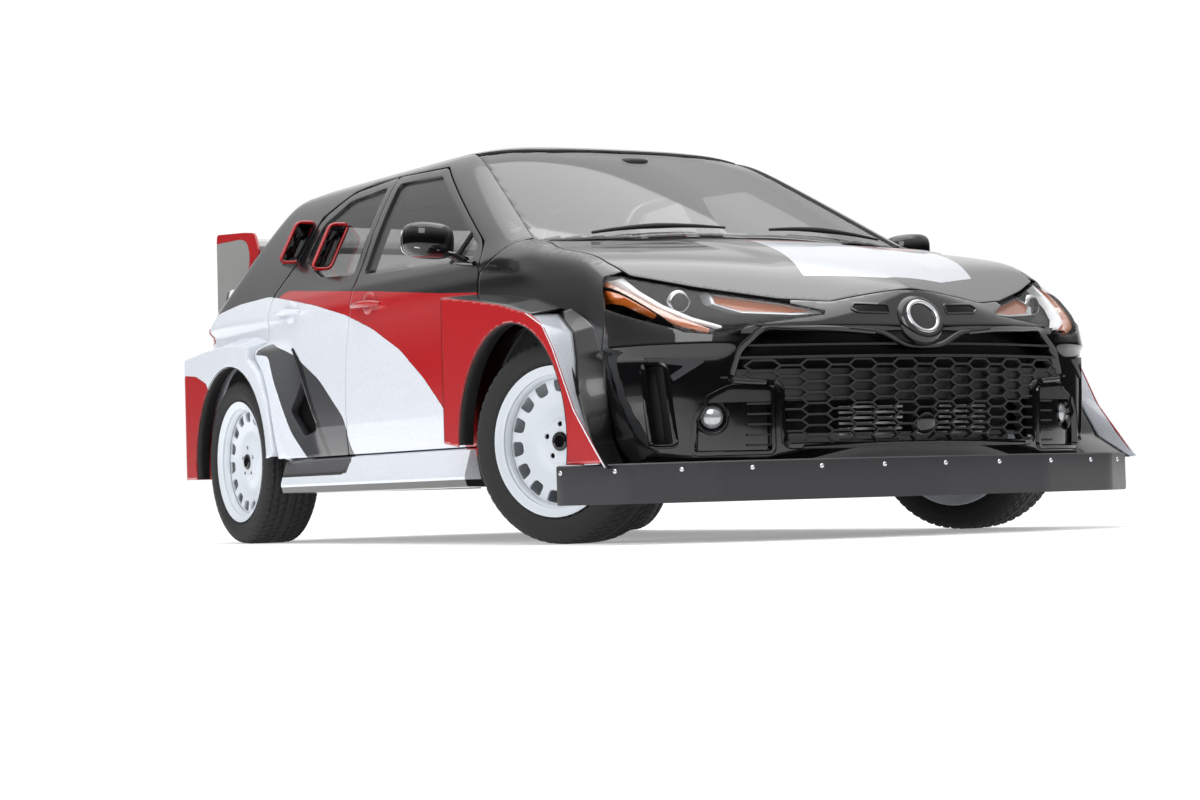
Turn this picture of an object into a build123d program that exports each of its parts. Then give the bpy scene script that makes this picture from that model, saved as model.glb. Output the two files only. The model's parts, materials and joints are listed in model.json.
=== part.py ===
"""Rally car: a five-door hatchback with wide arch flares, built as separate sub-parts in one frame.

Millimetres. X points to the car's left, Y to its rear and Z up from the floor; Y = 0 is the middle
of the car's length. Tables give distances behind the front axle, and at() turns one into Y.
The front wheels stand steered to the left, as in the photograph.
"""

import os
from math import cos, radians, sin

from build123d import *

os.makedirs("parts", exist_ok=True)

# Layout
WHEELBASE = 2640.0
FRONT_AXLE = -1240.0        # Y of the front axle
REAR_AXLE = FRONT_AXLE + WHEELBASE
AXLE_Z = 334.0
STEER_REST = 24.0           # degrees, front wheels turned left
KINGPIN_X = 740.0
WHEEL_X = 822.0             # middle of the tyre, wheels straight

# Body walls and gaps
WALL = 70.0                 # body side, from skin to cabin lining
DOOR_WALL = 58.0            # below the belt
FRAME_WALL = 30.0           # window frames
SKIN = 24.0                 # hood, fenders, roof and bumpers
PANE = 8.0
SEAM = 0.4                  # between pieces fixed to each other
SHUT = 6.0                  # round a moving panel
SWING = 14.0                # where the panel's edge first swings towards its neighbour
HINGE_X = 914.0             # door hinge line, on the widest skin

# Wheels
TYRE_R = 334.0
TYRE_HALF = 117.0
RIM_R = 246.0
FRONT_ARCH_R = 412.0        # room round a wheel inside the body, the front one steered
REAR_ARCH_R = 400.0
LIP_R = 385.0               # opening in the flare


def at(behind):
    """Y of a place given by its distance behind the front axle."""
    return FRONT_AXLE + behind


def side_view(points):
    """Points (distance behind the front axle, height) as (Y, Z)."""
    return [(at(behind), z) for behind, z in points]


def lower_body(inset):
    """Solid below the belt: plan, cross-section and side view crossed, each drawn in by inset."""
    nose, corner, cheek = (600, at(-768)), (800, at(-645)), (890, at(-430))
    flank, tail_side, tail_corner, tail = (912, at(1250)), (882, at(2960)), (822, at(3215)), (660, at(3358))
    with BuildPart() as volume:
        with BuildSketch(Plane.XY):
            with BuildLine():
                ThreePointArc((-nose[0], nose[1]), (0, at(-868)), nose)
                ThreePointArc((-tail[0], tail[1]), (0, at(3440)), tail)
                for side in (1, -1):
                    ThreePointArc(*[(side * x, y) for x, y in (nose, corner, cheek)])
                    ThreePointArc(*[(side * x, y) for x, y in (cheek, flank, tail_side)])
                    ThreePointArc(*[(side * x, y) for x, y in (tail_side, tail_corner, tail)])
            make_face()
            if inset:
                offset(amount=-inset, mode=Mode.REPLACE)
        extrude(amount=1200)
        with BuildSketch(Plane.XZ):
            with BuildLine():
                for side in (1, -1):
                    ThreePointArc((side * 884, 190), (side * 914, 560), (side * 868, 965))
                    Line((side * 868, 965), (side * 770, 1130))
                Line((-884, 190), (884, 190))
                Line((-770, 1130), (770, 1130))
            make_face()
            if inset:
                offset(amount=-inset, mode=Mode.REPLACE)
        extrude(amount=2400, both=True, mode=Mode.INTERSECT)
        with BuildSketch(Plane.YZ):
            with BuildLine():
                ThreePointArc(*side_view(((-800, 800), (-330, 935), (180, 1022))))
                Polyline(*side_view(((180, 1022), (1900, 1040), (3160, 1062), (3270, 1016), (3360, 900),
                                     (3440, 650), (3440, 430), (3370, 270), (3220, 190), (-760, 190),
                                     (-868, 330), (-868, 640), (-800, 800))))
            make_face()
            if inset:
                offset(amount=-inset, mode=Mode.REPLACE)
        extrude(amount=1200, both=True, mode=Mode.INTERSECT)
        for side in (1, -1):    # the nose slopes back above the grille, towards both lamps
            slope = Vector(side * 0.220, -0.527, 0.8206)
            foot = Vector(side * 300, at(-800), 720) - slope * inset
            with BuildSketch(Plane(origin=foot, x_dir=(0.8206, 0, -side * 0.220), z_dir=slope)):
                Rectangle(4000, 4000)
            extrude(amount=700, mode=Mode.SUBTRACT)
    return volume.part


def cabin(inset):
    """Solid above the belt: cross-section, roof line, windscreen and backlight, drawn in by inset."""
    base = 900.0
    screen_dir, light_dir = (0, 940, 447), (0, -370, 350)
    screen_y = at(90 - (1005 - base) * 940 / 447) + inset * 2.33
    light_y = at(3165 + (1050 - base) * 370 / 350) - inset * 1.46
    with BuildPart() as volume:
        with BuildSketch(Plane.XZ):
            with BuildLine():
                rail, foot = (632, 1418), (880, 901)
                ThreePointArc((-rail[0], rail[1]), (0, 1500), rail)
                for side in (1, -1):
                    ThreePointArc((side * foot[0], foot[1]), (side * 772, 1165), (side * rail[0], rail[1]))
                Polyline((-foot[0], foot[1]), (-foot[0], base - inset), (foot[0], base - inset), foot)
            make_face()
            if inset:
                offset(amount=-inset, mode=Mode.REPLACE)
        extrude(amount=2400, both=True)
        with BuildSketch(Plane.YZ):
            with BuildLine():
                ThreePointArc(*side_view(((600, 1410), (1620, 1490), (2850, 1392))))
                Polyline(*side_view(((2850, 1392), (3600, 1300), (3600, base - inset), (-300, base - inset),
                                     (-300, 1300), (600, 1410))))
            make_face()
            if inset:
                offset(amount=-inset, mode=Mode.REPLACE)
        extrude(amount=1200, both=True, mode=Mode.INTERSECT)
        with BuildSketch(Plane.XY.offset(base)):
            with BuildLine():
                ThreePointArc((-1000, screen_y + 320), (0, screen_y), (1000, screen_y + 320))
                Polyline((1000, screen_y + 320), (1000, 4000), (-1000, 4000), (-1000, screen_y + 320))
            make_face()
        extrude(amount=1400, dir=screen_dir, mode=Mode.INTERSECT)
        with BuildSketch(Plane.XY.offset(base)):
            with BuildLine():
                ThreePointArc((-1000, light_y - 240), (0, light_y), (1000, light_y - 240))
                Polyline((1000, light_y - 240), (1000, -4000), (-1000, -4000), (-1000, light_y - 240))
            make_face()
        extrude(amount=1400, dir=light_dir, mode=Mode.INTERSECT)
    return volume.part


def body(inset):
    """The whole closed body, lower part and cabin joined, drawn in by inset."""
    with BuildPart() as volume:
        add(lower_body(inset))
        add(cabin(inset))
    return volume.part


def hollow(outer, inner):
    with BuildPart() as walls:
        add(outer)
        add(inner, mode=Mode.SUBTRACT)
    return walls.part


OUTER = body(0)
CLEAR = body(-SEAM)
WALLS = hollow(OUTER, body(WALL))
DOOR_WALLS = hollow(OUTER, body(DOOR_WALL))
SKINS = hollow(OUTER, body(SKIN))
FRAME_WALLS = hollow(OUTER, body(FRAME_WALL))
PANES = hollow(OUTER, body(PANE))
POSTS = hollow(body(WALL - 6), body(WALL + 50))


def side_prism(points, x_near, x_far, grow=0.0):
    """Prism of a side-view outline between two X values, its outline grown by grow."""
    with BuildPart() as prism:
        with BuildSketch(Plane.YZ.offset(x_near)):
            with BuildLine():
                Polyline(*side_view(points), close=True)
            make_face()
            if grow:
                offset(amount=grow, kind=Kind.INTERSECTION, mode=Mode.REPLACE)
        extrude(amount=x_far - x_near)
    return prism.part


def front_prism(points, y_near, y_far, grow=0.0):
    """Prism of a front-view outline (X, Z) between two Y values."""
    with BuildPart() as prism:
        with BuildSketch(Plane(origin=(0, y_near, 0), x_dir=(1, 0, 0), z_dir=(0, -1, 0))):
            with BuildLine():
                Polyline(*points, close=True)
            make_face()
            if grow:
                offset(amount=grow, kind=Kind.INTERSECTION, mode=Mode.REPLACE)
        extrude(amount=y_near - y_far)
    return prism.part


def plan_prism(points, z_near, z_far, grow=0.0):
    """Prism of a plan outline (X, distance behind the front axle) between two heights."""
    with BuildPart() as prism:
        with BuildSketch(Plane.XY.offset(z_near)):
            with BuildLine():
                Polyline(*[(x, at(behind)) for x, behind in points], close=True)
            make_face()
            if grow:
                offset(amount=grow, kind=Kind.INTERSECTION, mode=Mode.REPLACE)
        extrude(amount=z_far - z_near)
    return prism.part


def both_ways(points):
    """A half outline (X from 0 up) completed by its mirror image."""
    return list(points) + [(-x, y) for x, y in reversed(points) if x]


def arch(axle_y, radius):
    """Cylinder across the car round an axle."""
    with BuildPart() as cylinder:
        with BuildSketch(Plane.YZ):
            with Locations((axle_y, AXLE_Z)):
                Circle(radius)
        extrude(amount=1200, both=True)
    return cylinder.part


FRONT_ARCH = arch(FRONT_AXLE, FRONT_ARCH_R)
REAR_ARCH = arch(REAR_AXLE, REAR_ARCH_R)

# Side-view outlines, (distance behind the front axle, height)
FRONT_DOOR = ((515, 335), (515, 935), (560, 1040), (1185, 1378), (1633, 1396), (1587, 1000), (1587, 335))
FRONT_WINDOW = ((600, 985), (602, 1036), (1198, 1350), (1590, 1364), (1550, 1012))
FRONT_OPENING = ((509, 329), (509, 938), (554, 1043), (1183, 1384), (1642, 1402), (1609, 1000), (1609, 329))
REAR_DOOR = ((1606, 335), (1606, 1000), (1652, 1396), (2030, 1374), (2235, 1290), (2300, 1115), (2425, 985),
             (2425, 748), (2330, 690), (2245, 562), (2184, 335))
REAR_WINDOW = ((1648, 1016), (1690, 1362), (2020, 1342), (2190, 1264), (2215, 1120), (1980, 1036))
REAR_OPENING = ((1585, 329), (1585, 1000), (1630, 1402), (1860, 1402), (2038, 1386), (2256, 1305),
                (2324, 1123), (2440, 994), (2440, 741), (2337, 683), (2253, 557), (2192, 329))
QUARTER_WINDOW = ((2345, 1150), (2306, 1282), (2480, 1196), (2500, 1150))
SIDE_BODY = ((440, 205), (2205, 205), (2400, 420), (2880, 420), (2985, 300), (3140, 300), (3140, 648.4),
             (3500, 648.4), (3500, 1120), (3060, 1160), (2745, 1440), (1050, 1520), (300, 1110), (300, 985),
             (440, 985))
UNDER_FLOOR_SIDE = ((0, 0), (3500, 0), (3500, 300), (0, 300))
FENDER_ZONE = ((430, 340), (512, 340), (512, 985), (430, 985))
CENTER_POST = ((1530, 320), (1580, 1440), (1710, 1440), (1665, 320))
HINGE_POST = ((445, 320), (445, 1010), (503, 1010), (503, 320))

# Plan outlines, (X, distance behind the front axle), left half from front to rear
HOOD = ((0, -800), (290, -768), (430, -690), (650, -520), (790, -396), (812, -300), (806, 0), (748, 236),
        (400, 140), (0, 104))
SCREEN = ((0, 190), (420, 226), (752, 326), (566, 1125), (300, 1062), (0, 1040))
ROOF = ((0, 1040), (300, 1062), (566, 1125), (580, 1500), (572, 2728), (0, 2728))

# Front-view outlines, (X, Z), left half
GRILLE = ((0, 600), (536, 656), (640, 500), (476, 290), (0, 290))
LAMP = ((300, 702), (420, 742), (640, 792), (862, 858), (884, 836), (770, 650), (660, 638), (540, 670))
TAILGATE = ((0, 655), (590, 655), (645, 900), (640, 1060), (556, 1420), (0, 1420))
BACKLIGHT = ((0, 1090), (520, 1090), (450, 1345), (0, 1345))
TAIL_LAMP = ((661.6, 826), (900, 836), (900, 926), (661.6, 946))
VENT = ((782, 300), (834, 300), (852, 556), (806, 556))
FOG_LAMP_X, FOG_LAMP_Z, FOG_LAMP_R = 690.0, 385.0, 44.0

HOOD_CUT = plan_prism(both_ways(HOOD), 600, 1200, SHUT)
HOOD_SWEEP = plan_prism(both_ways(HOOD), 600, 1200, SWING)     # its front edge swings forward as it rises
SCREEN_CUT = plan_prism(both_ways(SCREEN), 900, 1600, SEAM)
ROOF_CUT = plan_prism(both_ways(ROOF), 1200, 1600, SEAM)
GRILLE_CUT = front_prism(both_ways(GRILLE), at(-500), at(-1000))
TAILGATE_CUT = front_prism(both_ways(TAILGATE), at(3600), at(2728), SWING)
UNDER_FLOOR = side_prism(UNDER_FLOOR_SIDE, -790, -500)


def cut_from(solid, keep, *remove):
    """What of a solid lies inside keep and outside every solid in remove."""
    with BuildPart() as piece:
        add(solid)
        add(keep, mode=Mode.INTERSECT)
        for tool in remove:
            add(tool, mode=Mode.SUBTRACT)
    return piece.part


def one_side(part, side):
    """A piece modelled on the right (X below 0), mirrored when the left one is wanted."""
    with BuildPart() as piece:
        add(part)
        if side > 0:
            mirror(about=Plane.YZ, mode=Mode.REPLACE)
    return piece.part


SIDES = (("left", 1), ("right", -1))


# Doors with hinge eyes, their glass and the body sides round them
EYE_R, EYE_HALF, HINGE_PIN_R, HINGE_PIN_HALF, FIT = 7.0, 12.5, 4.0, 25.0, 0.06
HINGE_Z = (440, 720)
DOORS = (  # place, outline, window, opening, hinge line behind the front axle
    ("front", FRONT_DOOR, FRONT_WINDOW, FRONT_OPENING, 510.0),
    ("rear", REAR_DOOR, REAR_WINDOW, REAR_OPENING, 1600.0))
DOOR_BULGE = ((1850, 345), (2150, 786), (2425, 790), (2425, 748), (2330, 690), (2245, 562), (2187, 345))
BULGE_PLAN = ((-880, 1840), (-904, 1840), (-966, 2240), (-966, 2440), (-880, 2440))
above_belt = side_prism(((0, 1000), (3500, 1000), (3500, 1600), (0, 1600)), -1300, 1300)
for place, outline, window, opening, hinge_y in DOORS:
    prism = side_prism(outline, -1300, -300)
    pane = cut_from(PANES, side_prism(window, -1300, -300, -SEAM))
    with BuildPart() as panel:
        add(cut_from(DOOR_WALLS, prism, above_belt))
        add(cut_from(FRAME_WALLS, prism))
        add(side_prism(window, -1300, -300), mode=Mode.SUBTRACT)
        if place == "rear":
            add(cut_from(side_prism(DOOR_BULGE, -1000, -860), plan_prism(BULGE_PLAN, 300, 900)))
        for z in HINGE_Z:
            with Locations((-HINGE_X, at(hinge_y), z)):
                Cylinder(EYE_R, 2 * EYE_HALF)
            with Locations((-HINGE_X + 4, at(hinge_y + 15), z)):
                Box(18, 24, 2 * EYE_HALF)
            with Locations((-HINGE_X, at(hinge_y), z)):
                Cylinder(HINGE_PIN_R + FIT, 2 * EYE_HALF + 2, mode=Mode.SUBTRACT)
    for hand, side in SIDES:
        with BuildPart() as door:
            add(one_side(panel.part, side))
        door.part.label = f"door_{place}_{hand}"
        export_step(door.part, f"parts/door_{place}_{hand}.step")
        with BuildPart() as glass:
            add(one_side(pane, side))
        glass.part.label = f"glass_{place}_{hand}"
        export_step(glass.part, f"parts/glass_{place}_{hand}.step")

tail_lamp_cut = one_side(front_prism(TAIL_LAMP, at(3600), at(3140), SEAM), 1)
with BuildPart() as right_side:
    add(cut_from(WALLS, side_prism(SIDE_BODY, -1300, -540), SCREEN_CUT, ROOF_CUT, TAILGATE_CUT, REAR_ARCH,
                 HOOD_CUT, side_prism(QUARTER_WINDOW, -1300, -300), UNDER_FLOOR, tail_lamp_cut,
                 side_prism(FENDER_ZONE, -1300, -300), *[side_prism(door[3], -1300, -300) for door in DOORS]))
    for post in (CENTER_POST, HINGE_POST):
        add(cut_from(POSTS, side_prism(post, -1300, -300)))
    for place, outline, window, opening, hinge_y in DOORS:
        for z in HINGE_Z:
            with Locations((-HINGE_X, at(hinge_y), z)):
                Cylinder(HINGE_PIN_R, 2 * HINGE_PIN_HALF)
            for lift in (-19, 19):
                with Locations((-HINGE_X + 44, at(hinge_y - 4), z + lift)):
                    Box(88, 4, 12)
                with Locations((-HINGE_X + 80, at(hinge_y - 10), z + lift)):
                    Box(16, 16, 12)
quarter_pane = cut_from(PANES, side_prism(QUARTER_WINDOW, -1300, -300, -SEAM))
for hand, side in SIDES:
    with BuildPart() as body_side:
        add(one_side(right_side.part, side))
    body_side.part.label = f"body_side_{hand}"
    export_step(body_side.part, f"parts/body_side_{hand}.step")

# Air scoops on the side glass: boxes open to the front, standing off the skin
SCOOP_WALL = 8.0
SCOOPS = (  # place, mouth behind the front axle, tail, outer face (X, Z) at its foot, at its top
    ("door", 1950, 2120, (888, 1062), (799, 1250)),
    ("quarter", 2336, 2500, (863, 1122), (776, 1296)))
for place, mouth, tail, (foot_x, low), (top_x, high) in SCOOPS:
    box = ((-600, low), (-foot_x, low), (-top_x, high), (-600, high))
    room = ((-600, low + SCOOP_WALL), (SCOOP_WALL - foot_x, low + SCOOP_WALL),
            (SCOOP_WALL - top_x, high - SCOOP_WALL), (-600, high - SCOOP_WALL))
    shape = cut_from(front_prism(box, at(tail), at(mouth)), front_prism(box, at(tail), at(mouth)), CLEAR,
                     front_prism(room, at(tail - 30), at(mouth - 20)))
    if place == "door":
        for hand, side in SIDES:
            with BuildPart() as scoop:
                add(one_side(shape, side))
            scoop.part.label = f"scoop_door_{hand}"
            export_step(scoop.part, f"parts/scoop_door_{hand}.step")
    else:
        with BuildPart() as quarter_scoops:
            for hand, side in SIDES:
                add(one_side(shape, side))
        quarter_scoops.part.label = "quarter_scoops"
        export_step(quarter_scoops.part, "parts/quarter_scoops.step")

with BuildPart() as quarter_glass:
    for hand, side in SIDES:
        add(one_side(quarter_pane, side))
quarter_glass.part.label = "quarter_glass"
export_step(quarter_glass.part, "parts/quarter_glass.step")

# Roof, windscreen, cowl and hood, with their hinge lines (distance behind the front axle, height)
TAIL_HINGE = (2726, 1414)
HOOD_HINGE = (246, 1042)
with BuildPart() as roof_panel:
    add(cut_from(SKINS, plan_prism(both_ways(ROOF), 1200, 1600), SCREEN_CUT, TAILGATE_CUT,
                 *[one_side(side_prism(door[3], -1300, -300), side)
                   for door in DOORS for hand, side in SIDES]))
    for side in (1, -1):    # hinge pins for the tailgate
        with Locations((side * 410, at(TAIL_HINGE[0]), TAIL_HINGE[1])):
            Box(26, 30, 80, mode=Mode.SUBTRACT)
        with Locations(*[(side * x, at(TAIL_HINGE[0] - 8), TAIL_HINGE[1] - 10) for x in (393, 427)]):
            Box(10, 26, 28)
        with Locations((side * 410, at(TAIL_HINGE[0]), TAIL_HINGE[1])):
            Cylinder(HINGE_PIN_R, 44, rotation=(0, 90, 0))
roof_panel.part.label = "roof_panel"
export_step(roof_panel.part, "parts/roof_panel.step")

with BuildPart() as windscreen:
    add(cut_from(PANES, plan_prism(both_ways(SCREEN), 900, 1600)))
windscreen.part.label = "windscreen"
export_step(windscreen.part, "parts/windscreen.step")

COWL = ((0, 90), (400, 126), (744, 222), (746, 330), (0, 330))
with BuildPart() as cowl_panel:
    add(cut_from(SKINS, plan_prism(both_ways(COWL), 900, 1300), HOOD_CUT, SCREEN_CUT,
                 side_prism(((300, 900), (300, 1300), (2000, 1300), (2000, 900)), -1000, 1000)))
    for side in (1, -1):
        with Locations(*[(side * x, at(HOOD_HINGE[0]), HOOD_HINGE[1] - 14) for x in (673, 707)]):
            Box(10, 16, 40)
        with Locations((side * 690, at(HOOD_HINGE[0]), HOOD_HINGE[1])):
            Cylinder(HINGE_PIN_R, 44, rotation=(0, 90, 0))
cowl_panel.part.label = "cowl_panel"
export_step(cowl_panel.part, "parts/cowl_panel.step")

with BuildPart() as hood:
    add(cut_from(SKINS, plan_prism(both_ways(HOOD), 700, 1200)))
    for side in (1, -1):
        with Locations((side * 690, at(HOOD_HINGE[0]), HOOD_HINGE[1])):
            Cylinder(EYE_R, 20, rotation=(0, 90, 0))
        with Locations((side * 690, at(HOOD_HINGE[0] - 22), HOOD_HINGE[1])):
            Box(20, 44, 12)
        with Locations((side * 690, at(HOOD_HINGE[0] - 38), HOOD_HINGE[1] - 16)):
            Box(20, 14, 44)
        with Locations((side * 690, at(HOOD_HINGE[0]), HOOD_HINGE[1])):
            Cylinder(HINGE_PIN_R + FIT, 24, rotation=(0, 90, 0), mode=Mode.SUBTRACT)
hood.part.label = "hood"
export_step(hood.part, "parts/hood.step")

# Front end
FENDER = ((499, 345), (499, 984.6), (299.6, 984.6), (299.6, 1010), (0, 1000), (-340, 900), (-345, 760),
          (-440, 640), (-440, 345))
lamp_cut = front_prism(LAMP, at(-200), at(-1000), SEAM)
lamp_cut_right = one_side(lamp_cut, 1)
fender = cut_from(SKINS, side_prism(FENDER, -1300, -560), FRONT_ARCH, HOOD_CUT, lamp_cut_right,
                  plan_prism(both_ways(COWL), 800, 1300, SEAM))
with BuildPart() as front_fenders:
    for hand, side in SIDES:
        add(one_side(fender, side))
front_fenders.part.label = "front_fenders"
export_step(front_fenders.part, "parts/front_fenders.step")

NOSE = ((-1000, 250), (-1000, 860), (-345.4, 900), (-345.4, 759.6), (-440.4, 639.6), (-440.4, 250))
vent_cut = one_side(front_prism(VENT, at(-300), at(-1000)), 1)
with BuildPart() as fog_holes:
    with BuildSketch(Plane(origin=(0, at(-300), 0), x_dir=(1, 0, 0), z_dir=(0, -1, 0))):
        with Locations((FOG_LAMP_X, FOG_LAMP_Z), (-FOG_LAMP_X, FOG_LAMP_Z)):
            Circle(FOG_LAMP_R + SEAM)
    extrude(amount=700)
with BuildPart() as front_bumper:
    add(cut_from(SKINS, side_prism(NOSE, -1300, 1300), FRONT_ARCH, HOOD_SWEEP, GRILLE_CUT, lamp_cut,
                 lamp_cut_right, fog_holes.part, vent_cut, one_side(vent_cut, 1)))
front_bumper.part.label = "front_bumper"
export_step(front_bumper.part, "parts/front_bumper.step")

LAMP_DEPTH = hollow(OUTER, body(60))
with BuildPart() as headlamps:
    for hand, side in SIDES:
        add(one_side(cut_from(LAMP_DEPTH, one_side(front_prism(LAMP, at(-200), at(-1000)), 1), HOOD_SWEEP),
                     side))
headlamps.part.label = "headlamps"
export_step(headlamps.part, "parts/headlamps.step")

with BuildPart() as fog_lamps:
    with BuildSketch(Plane(origin=(0, at(-300), 0), x_dir=(1, 0, 0), z_dir=(0, -1, 0))):
        with Locations((FOG_LAMP_X, FOG_LAMP_Z), (-FOG_LAMP_X, FOG_LAMP_Z)):
            Circle(FOG_LAMP_R)
    extrude(amount=700)
    add(hollow(body(6), body(SKIN + 20)), mode=Mode.INTERSECT)
fog_lamps.part.label = "fog_lamps"
export_step(fog_lamps.part, "parts/fog_lamps.step")

# Mesh grille: rows of long hexagons through a curved slab behind the bumper's face
MESH_PITCH_X, MESH_PITCH_Z = 92.0, 44.0
slab = hollow(body(10), body(24))
with BuildPart() as grille:
    add(cut_from(slab, front_prism(both_ways(GRILLE), at(-500), at(-1000), -SEAM)))
    with BuildSketch(Plane(origin=(0, at(-600), 0), x_dir=(1, 0, 0), z_dir=(0, -1, 0))):
        for row in range(8):
            z = 314 + row * MESH_PITCH_Z
            half = min(470 + 0.78 * (z - 290), 640 - 0.66 * (z - 500)) - 70
            count = 2 * int(half / MESH_PITCH_X) + 1 if row % 2 == 0 else 2 * int(half / MESH_PITCH_X + 0.5)
            for i in range(count):
                x = (i - (count - 1) / 2) * MESH_PITCH_X
                if z > 560 and abs(x) < 560 - 9 * (656 - z):
                    continue
                with Locations((x, z)):
                    SlotOverall(MESH_PITCH_X - 14, MESH_PITCH_Z - 12)
    extrude(amount=400, mode=Mode.SUBTRACT)
grille.part.label = "grille"
export_step(grille.part, "parts/grille.step")

# Air dam: an upright skirt round the nose with a shelf under the bumper
DAM = ((0, -960), (420, -930), (760, -830), (960, -660), (1062, -400), (1062, -372))
with BuildPart() as air_dam:
    add(plan_prism(both_ways(DAM), 125, 236))
    add(plan_prism(both_ways([(max(x - 10, 0), y + (10 if y < -380 else -1)) for x, y in DAM]), 120, 236),
        mode=Mode.SUBTRACT)
    add(cut_from(plan_prism(both_ways(DAM), 235, 249.6),
                 plan_prism(both_ways(((0, -962), (1080, -962), (1080, -440), (0, -440))), 100, 300)))
air_dam.part.label = "air_dam"
export_step(air_dam.part, "parts/air_dam.step")

# Tail: tailgate with glass, rear bumper and lamps
with BuildPart() as tailgate:
    add(cut_from(WALLS, front_prism(both_ways(TAILGATE), at(3600), at(2736)),
                 front_prism(both_ways(BACKLIGHT), at(3600), at(2600))))
    for side in (1, -1):
        with Locations((side * 410, at(TAIL_HINGE[0]), TAIL_HINGE[1])):
            Cylinder(EYE_R, 20, rotation=(0, 90, 0))
        with Locations((side * 410, at(TAIL_HINGE[0] + 18), TAIL_HINGE[1] - 6)):
            Box(20, 36, 20)
        with Locations((side * 410, at(TAIL_HINGE[0]), TAIL_HINGE[1])):
            Cylinder(HINGE_PIN_R + FIT, 24, rotation=(0, 90, 0), mode=Mode.SUBTRACT)
tailgate.part.label = "tailgate"
export_step(tailgate.part, "parts/tailgate.step")

with BuildPart() as tailgate_glass:
    add(cut_from(PANES, front_prism(both_ways(BACKLIGHT), at(3600), at(2740), -SEAM)))
tailgate_glass.part.label = "tailgate_glass"
export_step(tailgate_glass.part, "parts/tailgate_glass.step")

REAR_END = ((3140.4, 262), (3500, 262), (3500, 648), (3140.4, 648))
with BuildPart() as rear_bumper:
    add(cut_from(SKINS, side_prism(REAR_END, -1300, 1300), REAR_ARCH))
rear_bumper.part.label = "rear_bumper"
export_step(rear_bumper.part, "parts/rear_bumper.step")

# Wheel-arch flares: hollow blocks that narrow from the outer face to the body, open round the wheel
FRONT_FLARE = ((497, 345), (497, 842), (269, 816), (49, 785), (-159, 741), (-240, 701), (-306, 626),
               (-440, 420), (-538, 325), (-612, 252), (-200, 252))
FRONT_FLARE_ROOT = ((497, 345), (497, 856), (269, 834), (49, 806), (-110, 764), (-190, 716), (-245, 600),
                    (-250, 450), (-320, 310), (-390, 252), (-200, 252))
REAR_FLARE = ((2197, 345), (2257, 556), (2341, 679), (2436, 738), (2436, 788), (2560, 797), (2730, 803),
              (2956, 790), (3140, 772), (3140, 270), (2900, 270))
REAR_FLARE_ROOT = ((2197, 345), (2257, 556), (2341, 679), (2436, 738), (2436, 824), (2560, 852), (2730, 856),
                   (2900, 830), (3140, 790), (3140, 270), (2900, 270))
FLARES = (  # place, outline, its X, outline at the root, its X, axle
    ("front", FRONT_FLARE, -1030, FRONT_FLARE_ROOT, -880, FRONT_AXLE),
    ("rear", REAR_FLARE, -970, REAR_FLARE_ROOT, -830, REAR_AXLE))
FLARE_WALL = 12.0


def flare_block(outline, x, root, root_x, shrink):
    """Block between two side-view outlines, both drawn in by shrink."""
    with BuildPart() as block:
        for points, place_x in ((outline, x + shrink), (root, root_x)):
            with BuildSketch(Plane.YZ.offset(place_x)):
                with BuildLine():
                    Polyline(*side_view(points), close=True)
                make_face()
                if shrink:
                    offset(amount=-shrink, kind=Kind.INTERSECTION, mode=Mode.REPLACE)
        loft(ruled=True)
    return block.part


for place, outline, x, root, root_x, axle_y in FLARES:
    block = flare_block(outline, x, root, root_x, 0)
    shape = cut_from(block, block, flare_block(outline, x, root, root_x, FLARE_WALL),
                     side_prism(root, root_x - 1, -600, -FLARE_WALL), arch(axle_y, LIP_R), CLEAR)
    with BuildPart() as flares:
        for hand, side in SIDES:
            add(one_side(shape, side))
    flares.part.label = f"{place}_flares"
    export_step(flares.part, f"parts/{place}_flares.step")

# Side skirts under the doors, section (X, Z)
SKIRT = ((830, 192), (935, 198), (945, 232), (918, 326), (830, 326))
with BuildPart() as side_skirts:
    for hand, side in SIDES:
        with BuildSketch(Plane(origin=(0, at(520), 0), x_dir=(1, 0, 0), z_dir=(0, -1, 0))):
            with BuildLine():
                Polyline(*[(side * x, z) for x, z in SKIRT], close=True)
            make_face()
        extrude(amount=-1650)
    add(CLEAR, mode=Mode.SUBTRACT)
    add(REAR_ARCH, mode=Mode.SUBTRACT)
side_skirts.part.label = "side_skirts"
export_step(side_skirts.part, "parts/side_skirts.step")

# Rear wing on the tailgate: blade, end plates and two posts
BLADE = ((3000, 1262), (3060, 1292), (3220, 1310), (3424, 1330), (3428, 1320), (3220, 1290), (3060, 1266))
END_PLATE = ((2940, 1225), (2990, 1310), (3100, 1322), (3426, 1342), (3430, 990), (3372, 980), (3310, 1088),
             (3110, 1092), (3030, 1140))
POST = ((3060, 1288), (3130, 1288), (3215, 1030), (3130, 1030))
with BuildPart() as rear_wing:
    add(side_prism(BLADE, -700, 700))
    for hand, side in SIDES:
        add(side_prism(END_PLATE, side * 692, side * 702))
        add(side_prism(POST, side * 420, side * 432))
    add(CLEAR, mode=Mode.SUBTRACT)
rear_wing.part.label = "rear_wing"
export_step(rear_wing.part, "parts/rear_wing.step")

# Mirrors on the front doors
for hand, side in SIDES:
    with BuildPart() as mirror_body:
        with BuildSketch(Plane(origin=(0, at(560), 0), x_dir=(1, 0, 0), z_dir=(0, -1, 0))):
            with Locations((side * 1004, 1048)):
                RectangleRounded(120, 90, 30)
        with BuildSketch(Plane(origin=(0, at(690), 0), x_dir=(1, 0, 0), z_dir=(0, -1, 0))):
            with Locations((side * 1008, 1050)):
                RectangleRounded(184, 136, 40)
        loft()
        with BuildSketch(Plane.YZ.offset(side * 850)):
            with Locations((at(640), 990)):
                RectangleRounded(70, 30, 10)
        extrude(amount=side * 130)
        add(CLEAR, mode=Mode.SUBTRACT)
    mirror_body.part.label = f"mirror_{hand}"
    export_step(mirror_body.part, f"parts/mirror_{hand}.step")

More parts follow.
